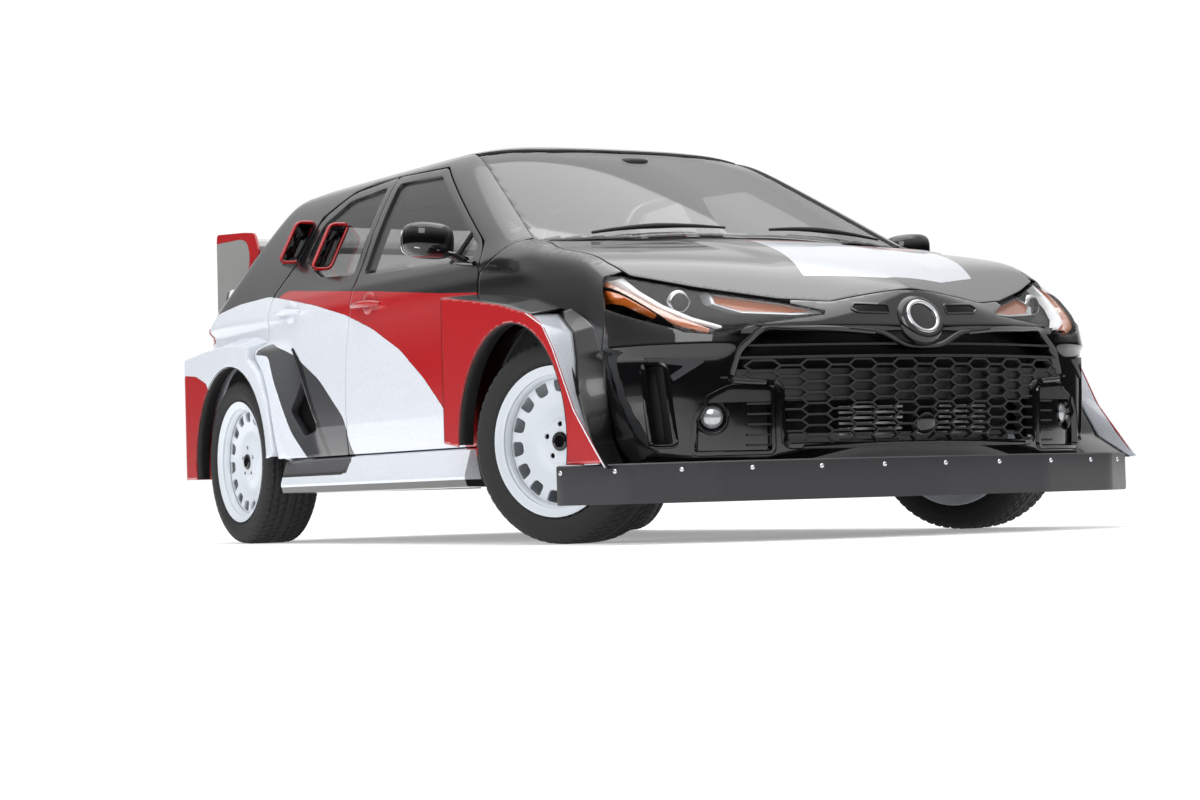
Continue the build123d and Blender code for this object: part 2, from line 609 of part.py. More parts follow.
# Tail lamps let into the body sides' rear corners
with BuildPart() as tail_lamps:
    for hand, side in SIDES:
        add(one_side(cut_from(SKINS, one_side(front_prism(TAIL_LAMP, at(3600), at(3140.4)), 1)), side))
tail_lamps.part.label = "tail_lamps"
export_step(tail_lamps.part, "parts/tail_lamps.step")

# Wheels: tyre, rim with hub and brake disc, each on its own axle line
TYRE = ((229.4, -97.4), (247, -102), (262, -112), (296, -117), (322, -108), (334, -88), (334, 88), (322, 108),
        (296, 117), (262, 112), (247, 102), (229.4, 97.4))
RIM = ((246, -104), (229, -98), (229, 98), (246, 104), (240, 106), (222, 98), (218, 88), (160, 80), (60, 84),
       (34, 86), (34, 100), (0, 100), (0, 42), (19, 42), (19, -14), (150, -14), (150, -2), (62, -2), (62, 60),
       (150, 62), (208, 66), (214, -96), (236, -106))
WINDOWS, WINDOW_R, WINDOW_W, WINDOW_H = 15, 186.0, 46.0, 40.0
LUGS, LUG_R, LUG_HOLE = 5, 57.15, 11.0
WHEELS = (  # corner, side, steered
    ("front_left", 1, True), ("front_right", -1, True), ("rear_left", 1, False), ("rear_right", -1, False))


def wheel_place(side, steered):
    """Centre of a wheel and its outward axle direction."""
    turn = radians(STEER_REST) if steered else 0.0
    out = Vector(side * cos(turn), side * sin(turn), 0)
    if steered:
        return Vector(side * KINGPIN_X, FRONT_AXLE, AXLE_Z) + out * (WHEEL_X - KINGPIN_X), out
    return Vector(side * WHEEL_X, REAR_AXLE, AXLE_Z), out


def profile_plane(center, out):
    """Plane through the axle: first coordinate is the radius, upwards, second runs out along the axle."""
    return Plane(origin=center, x_dir=(0, 0, 1), z_dir=Vector(0, 0, 1).cross(out))


def turned(profile, center, out):
    """Solid of revolution round an axle from (radius, distance out) points."""
    with BuildPart() as solid:
        with BuildSketch(profile_plane(center, out)):
            with BuildLine():
                Polyline(*profile, close=True)
            make_face()
        revolve(axis=Axis(center, out), revolution_arc=360)
    return solid.part


for corner, side, steered in WHEELS:
    center, out = wheel_place(side, steered)
    with BuildPart() as tyre:
        add(turned(TYRE, center, out))
    tyre.part.label = f"tyre_{corner}"
    export_step(tyre.part, f"parts/tyre_{corner}.step")
    with BuildPart() as wheel:
        add(turned(RIM, center, out))
        with BuildSketch(Plane(origin=center + out * 120, x_dir=(0, 0, 1), z_dir=out)):
            with PolarLocations(WINDOW_R, WINDOWS):
                RectangleRounded(WINDOW_H, WINDOW_W, 8)
        extrude(amount=-62, mode=Mode.SUBTRACT)
        with BuildSketch(Plane(origin=center + out * 120, x_dir=(0, 0, 1), z_dir=out)):
            with PolarLocations(LUG_R, LUGS):
                Circle(LUG_HOLE)
        extrude(amount=-52, mode=Mode.SUBTRACT)
    wheel.part.label = f"wheel_{corner}"
    export_step(wheel.part, f"parts/wheel_{corner}.step")

# Steering knuckles: an upright with a spindle for the hub and bores for the two ball-joint pins
PIN_R, SPINDLE_R = 12.0, 18.94
KNUCKLE_LOW, KNUCKLE_HIGH = 200.0, 468.0
for hand, side in SIDES:
    center, out = wheel_place(side, True)
    with BuildPart() as knuckle:
        add(turned(((0, -70), (62, -70), (62, -24), (30, -20), (SPINDLE_R, -20), (SPINDLE_R, 38), (0, 38)),
                   center, out))
        with BuildSketch(Plane.XY.offset(KNUCKLE_LOW)):
            with Locations((side * KINGPIN_X, FRONT_AXLE)):
                Circle(26)
        extrude(amount=KNUCKLE_HIGH - KNUCKLE_LOW)
        with BuildSketch(Plane.XY.offset(KNUCKLE_LOW - 1)):
            with Locations((side * KINGPIN_X, FRONT_AXLE)):
                Circle(PIN_R + FIT)
        extrude(amount=31, mode=Mode.SUBTRACT)
        with BuildSketch(Plane.XY.offset(KNUCKLE_HIGH + 1)):
            with Locations((side * KINGPIN_X, FRONT_AXLE)):
                Circle(PIN_R + FIT)
        extrude(amount=-31, mode=Mode.SUBTRACT)
    knuckle.part.label = f"knuckle_{hand}"
    export_step(knuckle.part, f"parts/knuckle_{hand}.step")

# Front suspension: crossmember, lower and upper arms ending in ball-joint pins, dampers up to the towers
with BuildPart() as front_suspension:
    with Locations((0, FRONT_AXLE, 214)):
        Box(900, 180, 60)
    for hand, side in SIDES:
        with Locations((side * 590, FRONT_AXLE, 186), (side * 610, FRONT_AXLE, 482)):
            Box(320, 46, 20)
        with Locations((side * 470, FRONT_AXLE, 340)):
            Box(50, 60, 310)
        with BuildSketch(Plane.XY.offset(KNUCKLE_LOW - 20)):
            with Locations((side * KINGPIN_X, FRONT_AXLE)):
                Circle(PIN_R)
        extrude(amount=46)
        with BuildSketch(Plane.XY.offset(KNUCKLE_HIGH + 20)):
            with Locations((side * KINGPIN_X, FRONT_AXLE)):
                Circle(PIN_R)
        extrude(amount=-46)
        with BuildSketch(Plane.XY.offset(482)):
            with Locations((side * 560, FRONT_AXLE)):
                Circle(38)
        extrude(amount=420)
front_suspension.part.label = "front_suspension"
export_step(front_suspension.part, "parts/front_suspension.step")

# Rear suspension: crossmember, differential, half shafts, carriers with spindles, arms and dampers
with BuildPart() as rear_suspension:
    with Locations((0, REAR_AXLE - 10, AXLE_Z)):
        Box(260, 280, 190)
    with Locations((0, REAR_AXLE - 110, 300)):
        Box(1040, 90, 70)
    for hand, side in SIDES:
        center, out = wheel_place(side, False)
        add(turned(((0, -720), (20, -720), (20, -70), (62, -70), (62, -24), (30, -20), (SPINDLE_R, -20),
                    (SPINDLE_R, 38), (0, 38)), center, out))
        with Locations((side * 620, REAR_AXLE - 110, 300)):
            Box(240, 50, 40)
        with Locations((side * 718, REAR_AXLE - 60, 310)):
            Box(44, 150, 60)
        with BuildSketch(Plane.XY.offset(300)):
            with Locations((side * 560, REAR_AXLE - 110)):
                Circle(36)
        extrude(amount=360)
rear_suspension.part.label = "rear_suspension"
export_step(rear_suspension.part, "parts/rear_suspension.step")

# Floor pan with bulkhead, boot floor, front rails and bumper beam, and four jack pads underneath
ROOM = body(WALL + SEAM)
SLABS = (  # distance behind the front axle from, to, height from, to
    (405, 2195, 200, 292),
    (405, 425, 200, 1040),
    (2175, 2195, 200, 690),
    (2175, 3120, 660.4, 690))
PADS = tuple((x, y) for x in (-700, 700) for y in (620, 2080))
PAD_Z = 236.0
BEAM = ((-1000, 430), (-645, 430), (-645, 530), (-1000, 530))
with BuildPart() as floor_pan:
    for y_from, y_to, z_from, z_to in SLABS:
        slab_side = ((y_from, z_from), (y_to, z_from), (y_to, z_to), (y_from, z_to))
        add(cut_from(ROOM, side_prism(slab_side, -900, 900)))
    for hand, side in SIDES:
        with Locations((side * 465, at(-120), 538)):
            Box(70, 1052, 85)
        with Locations((side * 780, REAR_AXLE, AXLE_Z)):
            Cylinder(REAR_ARCH_R, 180, rotation=(0, 90, 0), mode=Mode.SUBTRACT)
        with Locations((side * 760, FRONT_AXLE, AXLE_Z)):
            Cylinder(FRONT_ARCH_R, 250, rotation=(0, 90, 0), mode=Mode.SUBTRACT)
    add(cut_from(body(SKIN + SEAM), side_prism(BEAM, -820, 820)))
    with Locations(*[(x, at(y), (PAD_Z + 262) / 2) for x, y in PADS]):
        Box(90, 120, 262 - PAD_Z)
floor_pan.part.label = "floor_pan"
export_step(floor_pan.part, "parts/floor_pan.step")

# Cabin: dashboard with steering wheel on the left, two front seats, rear bench
DASH = ((425.4, 620), (560, 600), (700, 680), (720, 880), (640, 960), (425.4, 980))
with BuildPart() as dashboard:
    add(cut_from(body(WALL + 50 + SEAM), side_prism(DASH, -900, 900)))
    with BuildSketch(Plane(origin=(370, at(640), 800), z_dir=(0, 1, 0.35))):
        Circle(26)
    extrude(amount=210)
    with BuildSketch(Plane(origin=(370, at(832), 867), x_dir=(1, 0, 0), z_dir=(0, 1, 0.35))):
        Circle(184)
        Circle(152, mode=Mode.SUBTRACT)
        Rectangle(320, 34)
        Circle(44)
    extrude(amount=24)
dashboard.part.label = "dashboard"
export_step(dashboard.part, "parts/dashboard.step")

SEAT_SIDE = ((960, 292.4), (960, 420), (940, 520), (1400, 480), (1560, 930), (1555, 1080), (1640, 1080),
             (1660, 900), (1520, 420), (1480, 292.4))
SEAT_SHOULDER = ((1545, 880), (1548, 1080), (1650, 1080), (1660, 880))     # cut away beside the headrest
with BuildPart() as front_seats:
    for x in (-370, 370):
        add(side_prism(SEAT_SIDE, x - 230, x + 230))
        add(side_prism(SEAT_SHOULDER, x - 232, x - 130), mode=Mode.SUBTRACT)
        add(side_prism(SEAT_SHOULDER, x + 130, x + 232), mode=Mode.SUBTRACT)
front_seats.part.label = "front_seats"
export_step(front_seats.part, "parts/front_seats.step")

BENCH = ((1790, 292.4), (1770, 500), (2090, 470), (2180, 980), (2290, 980), (2290, 690.4), (2174, 690.4),
         (2174, 292.4))
with BuildPart() as rear_seat:
    add(side_prism(BENCH, -620, 620))
rear_seat.part.label = "rear_seat"
export_step(rear_seat.part, "parts/rear_seat.step")

# Under the hood and under the floor
with BuildPart() as engine_block:
    with Locations((0, at(-80), 650)):
        Box(859, 440, 280)
    with Locations((0, at(-150), 440)):
        Box(620, 240, 160)
engine_block.part.label = "engine_block"
export_step(engine_block.part, "parts/engine_block.step")

with BuildPart() as radiator:
    with Locations((0, at(-617.6), 510)):
        Box(858, 54, 360)
radiator.part.label = "radiator"
export_step(radiator.part, "parts/radiator.step")

PIPE_R, PIPE_Z = 28.0, 232.0
with BuildPart() as exhaust:
    with BuildSketch(Plane(origin=(-220, at(450), PIPE_Z), x_dir=(1, 0, 0), z_dir=(0, 1, 0))):
        Circle(PIPE_R)
    extrude(amount=2560)
    with Locations((0, at(3080), 250)):
        Box(660, 220, 96)
    for x in (-220, 0, 220):
        with BuildSketch(Plane(origin=(x, at(3150), PIPE_Z), x_dir=(1, 0, 0), z_dir=(0, 1, 0))):
            Circle(PIPE_R)
        extrude(amount=284)
        with BuildSketch(Plane(origin=(x, at(3435), PIPE_Z), x_dir=(1, 0, 0), z_dir=(0, -1, 0))):
            Circle(PIPE_R - 4)
        extrude(amount=120, mode=Mode.SUBTRACT)
exhaust.part.label = "exhaust"
export_step(exhaust.part, "parts/exhaust.step")

# Liners inside the wheel arches
LINER_WALL = 8.0
LINERS = ((FRONT_AXLE, FRONT_ARCH_R, 640.0), (REAR_AXLE, REAR_ARCH_R, 690.5))   # axle, arch radius, inner end
with BuildPart() as wheel_liners:
    for axle_y, radius, inner_x in LINERS:
        for side in (1, -1):
            with BuildSketch(Plane.YZ.offset(side * inner_x)):
                with Locations((axle_y, AXLE_Z)):
                    Circle(radius - SEAM)
                    Circle(radius - LINER_WALL, mode=Mode.SUBTRACT)
            extrude(amount=side * 400)
    with Locations((0, 0, 190)):
        Box(2400, 5000, 380, mode=Mode.SUBTRACT)
    add(body(4), mode=Mode.INTERSECT)
wheel_liners.part.label = "wheel_liners"
export_step(wheel_liners.part, "parts/wheel_liners.step")
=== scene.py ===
"""Rally car: skins, lamps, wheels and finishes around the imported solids.

Shapes are worked out in millimetres as (x, y, z), where y is the distance behind the front axle, and are
turned to the frame's metres when a mesh is made.
"""
import json
from math import cos, hypot, pi, radians, sin

import bmesh
import bpy
import numpy as np
from mathutils import Matrix, Vector


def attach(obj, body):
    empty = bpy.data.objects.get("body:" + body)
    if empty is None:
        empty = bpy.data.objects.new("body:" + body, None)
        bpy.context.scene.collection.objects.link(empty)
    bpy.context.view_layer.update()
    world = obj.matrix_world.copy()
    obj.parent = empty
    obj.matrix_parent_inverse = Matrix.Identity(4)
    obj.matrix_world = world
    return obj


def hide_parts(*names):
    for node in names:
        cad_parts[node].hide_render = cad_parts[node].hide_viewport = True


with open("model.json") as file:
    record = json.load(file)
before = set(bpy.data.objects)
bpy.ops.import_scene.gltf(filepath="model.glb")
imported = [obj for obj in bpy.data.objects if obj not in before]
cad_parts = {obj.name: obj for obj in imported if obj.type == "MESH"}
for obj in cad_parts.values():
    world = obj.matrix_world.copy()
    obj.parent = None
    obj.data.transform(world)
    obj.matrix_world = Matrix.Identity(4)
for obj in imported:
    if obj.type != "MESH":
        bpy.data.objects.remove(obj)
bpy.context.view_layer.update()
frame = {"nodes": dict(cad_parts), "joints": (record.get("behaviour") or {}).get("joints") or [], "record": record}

AXLE_Y = -1240.0          # front axle in the frame
WHEELBASE = 2640.0
AXLE_Z = 334.0
HANDS = (("left", 1), ("right", -1))


# Curves and limits of the body

def circle(a, b, c):
    """Centre and radius of the circle through three points."""
    (ax, ay), (bx, by), (cx, cy) = a, b, c
    d = 2 * (ax * (by - cy) + bx * (cy - ay) + cx * (ay - by))
    a2, b2, c2 = ax * ax + ay * ay, bx * bx + by * by, cx * cx + cy * cy
    u = (a2 * (by - cy) + b2 * (cy - ay) + c2 * (ay - by)) / d
    v = (a2 * (cx - bx) + b2 * (ax - cx) + c2 * (bx - ax)) / d
    return u, v, hypot(ax - u, ay - v)


def arc(a, b, c, count=16):
    """Points of the circular arc from a through b to c."""
    u, v, r = circle(a, b, c)
    start, middle, end = (np.arctan2(p[1] - v, p[0] - u) for p in (a, b, c))
    middle, end = start + (middle - start) % (2 * pi), start + (end - start) % (2 * pi)
    if middle > end:
        end -= 2 * pi
    t = np.linspace(start, end, count)
    return np.column_stack([u + r * np.cos(t), v + r * np.sin(t)])


def limit(*rows):
    """Reader of a limit given by rows of (place, limit): its value there and the stretch of its slope."""
    table = np.vstack(rows)
    table = table[np.argsort(table[:, 0], kind="stable")]
    table = table[np.concatenate([[True], np.diff(table[:, 0]) > 1e-6])]
    slope = np.gradient(table[:, 1], table[:, 0])

    def read(place):
        value = np.interp(place, table[:, 0], table[:, 1])
        return value, np.hypot(1, np.interp(place, table[:, 0], slope))
    return read


def soft_max(size, *gaps):
    """Largest of several distances, rounded over size where they meet."""
    top = np.maximum.reduce(np.broadcast_arrays(*gaps))
    return top + size * np.log(sum(np.exp((gap - top) / size) for gap in gaps))


def swap(points):
    """Pairs with their two values exchanged."""
    return np.asarray(points, float)[:, ::-1]


HALF_WIDTH = 914.0
PLAN = limit([(-1080, 0)], swap(arc((600, -768), (800, -645), (890, -430))),
             swap(arc((890, -430), (912, 1250), (882, 2960))),
             swap(arc((882, 2960), (822, 3215), (660, 3358))), [(3760, 0)])
SECTION = limit(swap(arc((884, 190), (914, 560), (868, 965))), [(1130, 770), (1300, 640)])
TOP = limit([(-1068, 600), (-900, 620), (-868, 640)], arc((-800, 800), (-330, 935), (180, 1022)),
            [(1900, 1040), (3160, 1062), (3270, 1016), (3360, 900), (3440, 650), (3540, 300)])
BOTTOM = limit([(-968, 460), (-868, 330), (-760, 190), (3220, 190), (3370, 270), (3440, 430), (3540, 680)])
NOSE = circle((-600, -768), (0, -868), (600, -768))
TAIL = circle((-660, 3358), (0, 3440), (660, 3358))
ROOF_SECTION = circle((-632, 1418), (0, 1500), (632, 1418))
ROOF_LINE = limit(arc((600, 1410), (1620, 1490), (2850, 1392)), [(3600, 1300)])
CABIN_SIDE = limit(swap(arc((880, 901), (772, 1165), (632, 1418))), [(1600, 520)])
SCREEN_SLOPE, SCREEN_FOOT, SCREEN_BOW = 940 / 447, 90 - 105 * 940 / 447, 320.0
LIGHT_SLOPE, LIGHT_FOOT, LIGHT_BOW = -370 / 350, 3165 + 150 * 370 / 350, -240.0
NOSE_PLANE, NOSE_POINT = (0.220, -0.527, 0.8206), (300, -800, 720)


def step(low, high, value):
    """Smooth rise from 0 at low to 1 at high."""
    t = np.clip((value - low) / (high - low), 0, 1)
    return t * t * (3 - 2 * t)


CORNER_Z, BROW_Z = 608.0, 662.0      # creases on the bumper's corners and under the lamps


def crease(z, level, above, under):
    """Ridge at a level that fades over one length above it and another under it."""
    return np.exp(-abs(z - level) / np.where(z > level, above, under))


def lower_gap(x, y, z):
    """Distance outside the lower body: plan times section, nose and tail arcs, side view and lamp planes."""
    wide = abs(x)
    plan, plan_lean = PLAN(y)
    section, section_lean = SECTION(z)
    side = (wide - plan * section / HALF_WIDTH) / (plan_lean * section_lean)
    nose = np.hypot(x - NOSE[0], np.minimum(y - NOSE[1], 0)) - NOSE[2]
    tail = np.hypot(x - TAIL[0], np.maximum(y - TAIL[1], 0)) - TAIL[2]
    top, top_lean = TOP(y)
    crown = step(320, 60, y) * (30 * (x / 800) ** 2 - 9 * step(330, 250, wide) * step(-760, -300, y))
    low, low_lean = BOTTOM(y)
    plane = sum(n * (p - q) for n, p, q in zip(NOSE_PLANE, (wide, y, z), NOSE_POINT))
    around = soft_max(34, side, nose, tail)
    gap = soft_max(16, around, (z - top + crown) / top_lean, (low - z) / low_lean, plane)
    ahead = step(-250, -330, y)
    outer = crease(z, CORNER_Z, 80, 14) * step(600, 690, wide)
    brow = crease(z, BROW_Z, 30, 9) * step(700, 600, wide)
    return gap - ahead * (14 * outer + 12 * brow)


CABIN_LEVEL = 940.0       # inside the cabin wherever it has a top


def cabin_gap(x, y, z):
    """Distance outside the cabin: roof arcs, leaning sides, windscreen and rear window."""
    roof, roof_lean = ROOF_LINE(y)
    over = np.hypot(x - ROOF_SECTION[0], z - ROOF_SECTION[1]) - ROOF_SECTION[2]
    wide, side_lean = CABIN_SIDE(z)
    bow = (x / 1000) ** 2
    screen = SCREEN_FOOT + SCREEN_BOW * bow + (z - 900) * SCREEN_SLOPE - y
    light = y - LIGHT_FOOT - LIGHT_BOW * bow - (z - 900) * LIGHT_SLOPE
    return soft_max(20, soft_max(9, (z - roof) / roof_lean, over), (abs(x) - wide) / side_lean,
                    screen / hypot(1, SCREEN_SLOPE), light / hypot(1, LIGHT_SLOPE), 870 - z)


def body_gap(x, y, z):
    """Distance outside the whole body."""
    return -soft_max(8, -lower_gap(x, y, z), -cabin_gap(x, y, z))


def solve(gap_at, inside, outside, shape):
    """Where a distance crosses zero between two values, by halving 26 times."""
    near, far = np.full(shape, float(inside)), np.full(shape, float(outside))
    for _ in range(26):
        middle = (near + far) / 2
        within = gap_at(middle) < 0
        near, far = np.where(within, middle, near), np.where(within, far, middle)
    return near


# Each lift carries flat points (u, v) to the body, sunk by inset; its second value is the outward direction

def lift_maker(place, start, outside, outward):
    """Maker of lifts: place gives (x, y, z) of (u, v) at a distance, from one in the body to one outside."""
    def make(inset=0.0, gap=body_gap, inside=start):
        def lift(u, v):
            far = solve(lambda d: gap(*place(u, v, d)) + inset, inside, outside, u.shape)
            return np.column_stack(place(u, v, far))
        return lift, outward
    return make


def nose_ray(u, v, d):
    """Place on a ray from an upright axis in the nose, u = turn from straight ahead times ROUND."""
    return d * np.sin(u / ROUND), NOSE_CENTRE - d * np.cos(u / ROUND), v


def tail_ray(u, v, d):
    """Place on a ray from an upright axis in the tail, u = turn from straight back times ROUND."""
    return d * np.sin(u / ROUND), TAIL_CENTRE + d * np.cos(u / ROUND), v


ROUND = 800.0             # a turn of one radian is this many units of u
NOSE_CENTRE, TAIL_CENTRE = -150.0, 2500.0
from_side = lift_maker(lambda u, v, d: (d, u, v), 0, 1150, (1, 0, 0))              # (y, z) to positive x
from_top = lift_maker(lambda u, v, d: (u, v, d), 450, 1650, (0, 0, 1))             # (x, y) to the top
from_front = lift_maker(lambda u, v, d: (u, d, v), 300, -1250, (0, -1, 0))         # (x, z) to the front
from_back = lift_maker(lambda u, v, d: (u, d, v), 2300, 3700, (0, 1, 0))           # (x, z) to the back
round_nose = lift_maker(nose_ray, 60, 1250, (0, -1, 0))                            # (u, z) to the nose
round_tail = lift_maker(tail_ray, 60, 1250, (0, 1, 0))                             # (u, z) to the tail


def ray_turn(points):
    """3-D points as (u, z) of the nose's rays."""
    return np.column_stack([ROUND * np.arctan2(points[:, 0], NOSE_CENTRE - points[:, 1]), points[:, 2]])


def nose_turn(points):
    """Front-view points (x, z) as (u, z) of the nose's rays."""
    return ray_turn(from_front()[0](*np.asarray(points, float).T))


def seam_turn(points):
    """Side-view points (y, z) as (u, z) of the nose's rays."""
    return ray_turn(from_side()[0](*np.asarray(points, float).T))


def tail_turn(points):
    """Back-view points (x, z) as (u, z) of the tail's rays."""
    x, z = np.asarray(points, float).T
    y = from_back()[0](x, z)[:, 1]
    return np.column_stack([ROUND * np.arctan2(x, y - TAIL_CENTRE), z])


# Flat outlines

def rounded(points, radius, count=6):
    """Closed outline with each corner turned by a parabola that starts radius before it."""
    p = np.asarray(points, float)
    before, after = np.roll(p, 1, 0) - p, np.roll(p, -1, 0) - p
    reach = np.broadcast_to(np.asarray(radius, float), len(p))
    a = np.linalg.norm(before, axis=1)
    b = np.linalg.norm(after, axis=1)
    start = p + before * (np.minimum(reach, 0.48 * a) / a)[:, None]
    end = p + after * (np.minimum(reach, 0.48 * b) / b)[:, None]
    t = np.linspace(0, 1, count)[None, :, None]
    curve = (1 - t) ** 2 * start[:, None] + 2 * t * (1 - t) * p[:, None] + t * t * end[:, None]
    return curve.reshape(-1, 2)


def both_halves(half):
    """Closed outline from its half at u >= 0, mirrored about u = 0."""
    half = np.asarray(half, float)
    return np.vstack([half, half[half[:, 0] > 0.01][::-1] * (-1, 1)])


def ring(centre, radius, count):
    """Closed circle."""
    t = np.linspace(0, 2 * pi, count, endpoint=False)
    return np.column_stack([centre[0] + radius * np.cos(t), centre[1] + radius * np.sin(t)])


def scaled(points, grow):
    """Outline pushed out from its middle by about grow."""
    p = np.asarray(points, float)
    middle = p.mean(0)
    away = p - middle
    size = np.linalg.norm(away, axis=1)[:, None]
    return middle + away * (size + grow) / size


def along(points, count):
    """Even points along an open path."""
    p = np.asarray(points, float)
    length = np.concatenate([[0], np.cumsum(np.linalg.norm(np.diff(p, axis=0), axis=1))])
    at = np.linspace(0, length[-1], count)
    return np.column_stack([np.interp(at, length, p[:, k]) for k in range(p.shape[1])])


def top_edge(points, count):
    """Plan points (x, y) carried to the body, as 3-D points."""
    return from_top()[0](*along(points, count).T)


def within(points, outline):
    """True where points lie inside a closed outline, by counting its crossings."""
    x, y = points[:, 0, None], points[:, 1, None]
    a, b = outline, np.roll(outline, -1, 0)
    rise = (a[:, 1] > y) != (b[:, 1] > y)
    with np.errstate(divide="ignore", invalid="ignore"):
        cross = a[:, 0] + (y - a[:, 1]) * (b[:, 0] - a[:, 0]) / (b[:, 1] - a[:, 1])
    return (rise & (x < cross)).sum(1) % 2 == 1


def walk(outline, spacing):
    """Points along a closed outline, about spacing apart."""
    loop = np.vstack([outline, outline[:1]])
    length = np.concatenate([[0], np.cumsum(np.linalg.norm(np.diff(loop, axis=0), axis=1))])
    at = np.linspace(0, length[-1], max(8, int(length[-1] / spacing)), endpoint=False)
    return np.column_stack([np.interp(at, length, loop[:, k]) for k in (0, 1)])


def outline_gap(points, outline, spacing=4.0):
    """Signed distance of flat points from a closed outline, positive inside."""
    edge = walk(np.asarray(outline, float), spacing)
    far = np.concatenate([np.sqrt(((part[:, None] - edge) ** 2).sum(2).min(1))
                          for part in np.array_split(points, 1 + len(points) // 1500)])
    return np.where(within(points, np.asarray(outline, float)), far, -far)


def trimmed(outline, holes=(), cell=12.0):
    """Square grid inside an outline and outside holes; its border points move onto the nearest edge."""
    outline = np.asarray(outline, float)
    holes = [np.asarray(hole, float) for hole in holes]
    low, high = outline.min(0) - cell, outline.max(0) + cell
    nu, nv = (np.ceil((high - low) / cell)).astype(int) + 1
    u, v = np.meshgrid(low[0] + cell * np.arange(nu), low[1] + cell * np.arange(nv), indexing="ij")
    points = np.column_stack([u.ravel(), v.ravel()])
    inside = within(points, outline)
    edge = walk(outline, cell / 6)
    edges = [edge[~np.any([within(edge, hole) for hole in holes], axis=0)] if holes else edge]
    for hole in holes:
        inside &= ~within(points, hole)
        edge = walk(hole, cell / 6)
        keep = within(edge, outline)
        for other in holes:
            if other is not hole:
                keep &= ~within(edge, other)
        edges.append(edge[keep])
    edge = np.vstack(edges)
    far, nearest = np.full(len(points), 1e9), points.copy()
    mask = inside.reshape(nu, nv)
    border = np.zeros_like(mask)
    for shift in ((1, 0), (0, 1), (1, 1), (1, -1)):
        moved = np.roll(mask, shift, (0, 1))
        border |= (moved != mask) | np.roll(moved != mask, (-shift[0], -shift[1]), (0, 1))
    for part in np.array_split(np.flatnonzero(border.ravel()), 1 + border.sum() // 800):
        d = ((points[part][:, None] - edge) ** 2).sum(2)
        nearest[part] = edge[d.argmin(1)]
        far[part] = np.sqrt(d.min(1))
    core = inside & (far > 0.35 * cell)
    faces = grid_faces(nu, nv)
    faces = faces[core[faces].any(1)]
    points = np.where(core[:, None], points, nearest)
    used, faces = np.unique(faces, return_inverse=True)
    return points[used], faces.reshape(-1, 4)


# Meshes

def metres(points):
    """Body millimetres to the frame's metres."""
    out = np.array(points, float)
    out[:, 1] += AXLE_Y
    return out / 1000.0


def joined(*parts):
    """Several (points, faces) as one."""
    start = np.cumsum([0] + [len(p) for p, _ in parts[:-1]])
    return np.vstack([p for p, _ in parts]), np.vstack([f + s for (_, f), s in zip(parts, start)])


def mirrored(shape):
    """A shape on the other side of the middle plane, still facing outwards."""
    points, faces = shape
    return points * (-1, 1, 1), faces[:, ::-1]


def mesh_object(name, shape, materials, body, smooth):
    """Object of one mesh that rides on a body; doubles merge and edges over smooth degrees stay sharp."""
    points, faces = shape
    mesh = bpy.data.meshes.new(name)
    mesh.from_pydata(metres(points).tolist(), [], faces.tolist())
    work = bmesh.new()
    work.from_mesh(mesh)
    bmesh.ops.remove_doubles(work, verts=work.verts, dist=2e-5)
    bmesh.ops.dissolve_degenerate(work, edges=work.edges, dist=1e-6)
    work.to_mesh(mesh)
    work.free()
    mesh.polygons.foreach_set("use_smooth", np.ones(len(mesh.polygons), bool))
    mesh.set_sharp_from_angle(angle=radians(smooth))
    obj = bpy.data.objects.new(name, mesh)
    bpy.context.scene.collection.objects.link(obj)
    for material in materials:
        mesh.materials.append(material)
    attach(obj, body)
    return obj


def thicken(obj, wall, inner=0):
    """Gives a skin its wall, inwards; inner counts up from each face's own material."""
    solid = obj.modifiers.new("wall", "SOLIDIFY")
    solid.thickness, solid.offset = wall / 1000, -1
    solid.material_offset, solid.material_offset_rim = inner, 0


def soften(obj, width, segments=2, angle=40.0):
    """Rounds edges sharper than angle."""
    bevel = obj.modifiers.new("edges", "BEVEL")
    bevel.width, bevel.segments = width / 1000, segments
    bevel.limit_method, bevel.angle_limit = "ANGLE", radians(angle)


def surface(lift, outline, holes=(), cell=12.0):
    """Trimmed flat grid carried onto the body, its faces turned to the lift's outward direction."""
    flat, faces = trimmed(outline, holes, cell)
    carry, outward = lift
    points = carry(flat[:, 0], flat[:, 1])
    a, b, c, d = (points[faces[:, k]] for k in range(4))
    if (np.cross(c - a, d - b) @ outward).sum() < 0:
        faces = faces[:, ::-1]
    return points, faces


def grid_faces(nu, nv, loop_u=False, loop_v=False):
    """Quads of a grid of nu by nv points, closed round either way."""
    number = np.arange(nu * nv).reshape(nu, nv)
    if loop_u:
        number = np.vstack([number, number[:1]])
    if loop_v:
        number = np.hstack([number, number[:, :1]])
    return np.stack([number[:-1, :-1], number[1:, :-1], number[1:, 1:], number[:-1, 1:]], -1).reshape(-1, 4)


def ruled(first, second, steps=2, loop=False):
    """Surface of straight lines between two paths with as many points each."""
    t = np.linspace(0, 1, steps)[:, None, None]
    points = (1 - t) * np.asarray(first, float) + t * np.asarray(second, float)
    return points.reshape(-1, 3), grid_faces(steps, points.shape[1], False, loop)


def turned(profile, count, centre):
    """Lathe about the line through centre along x: profile rows are (place along x, radius)."""
    place, radius = np.asarray(profile, float).T
    t = np.linspace(0, 2 * pi, count, endpoint=False)[:, None]
    x = np.broadcast_to(centre[0] + place, (count, len(place)))
    points = np.stack([x, centre[1] + radius * np.sin(t), centre[2] + radius * np.cos(t)], -1)
    return points.reshape(-1, 3), grid_faces(count, len(place), True, False)


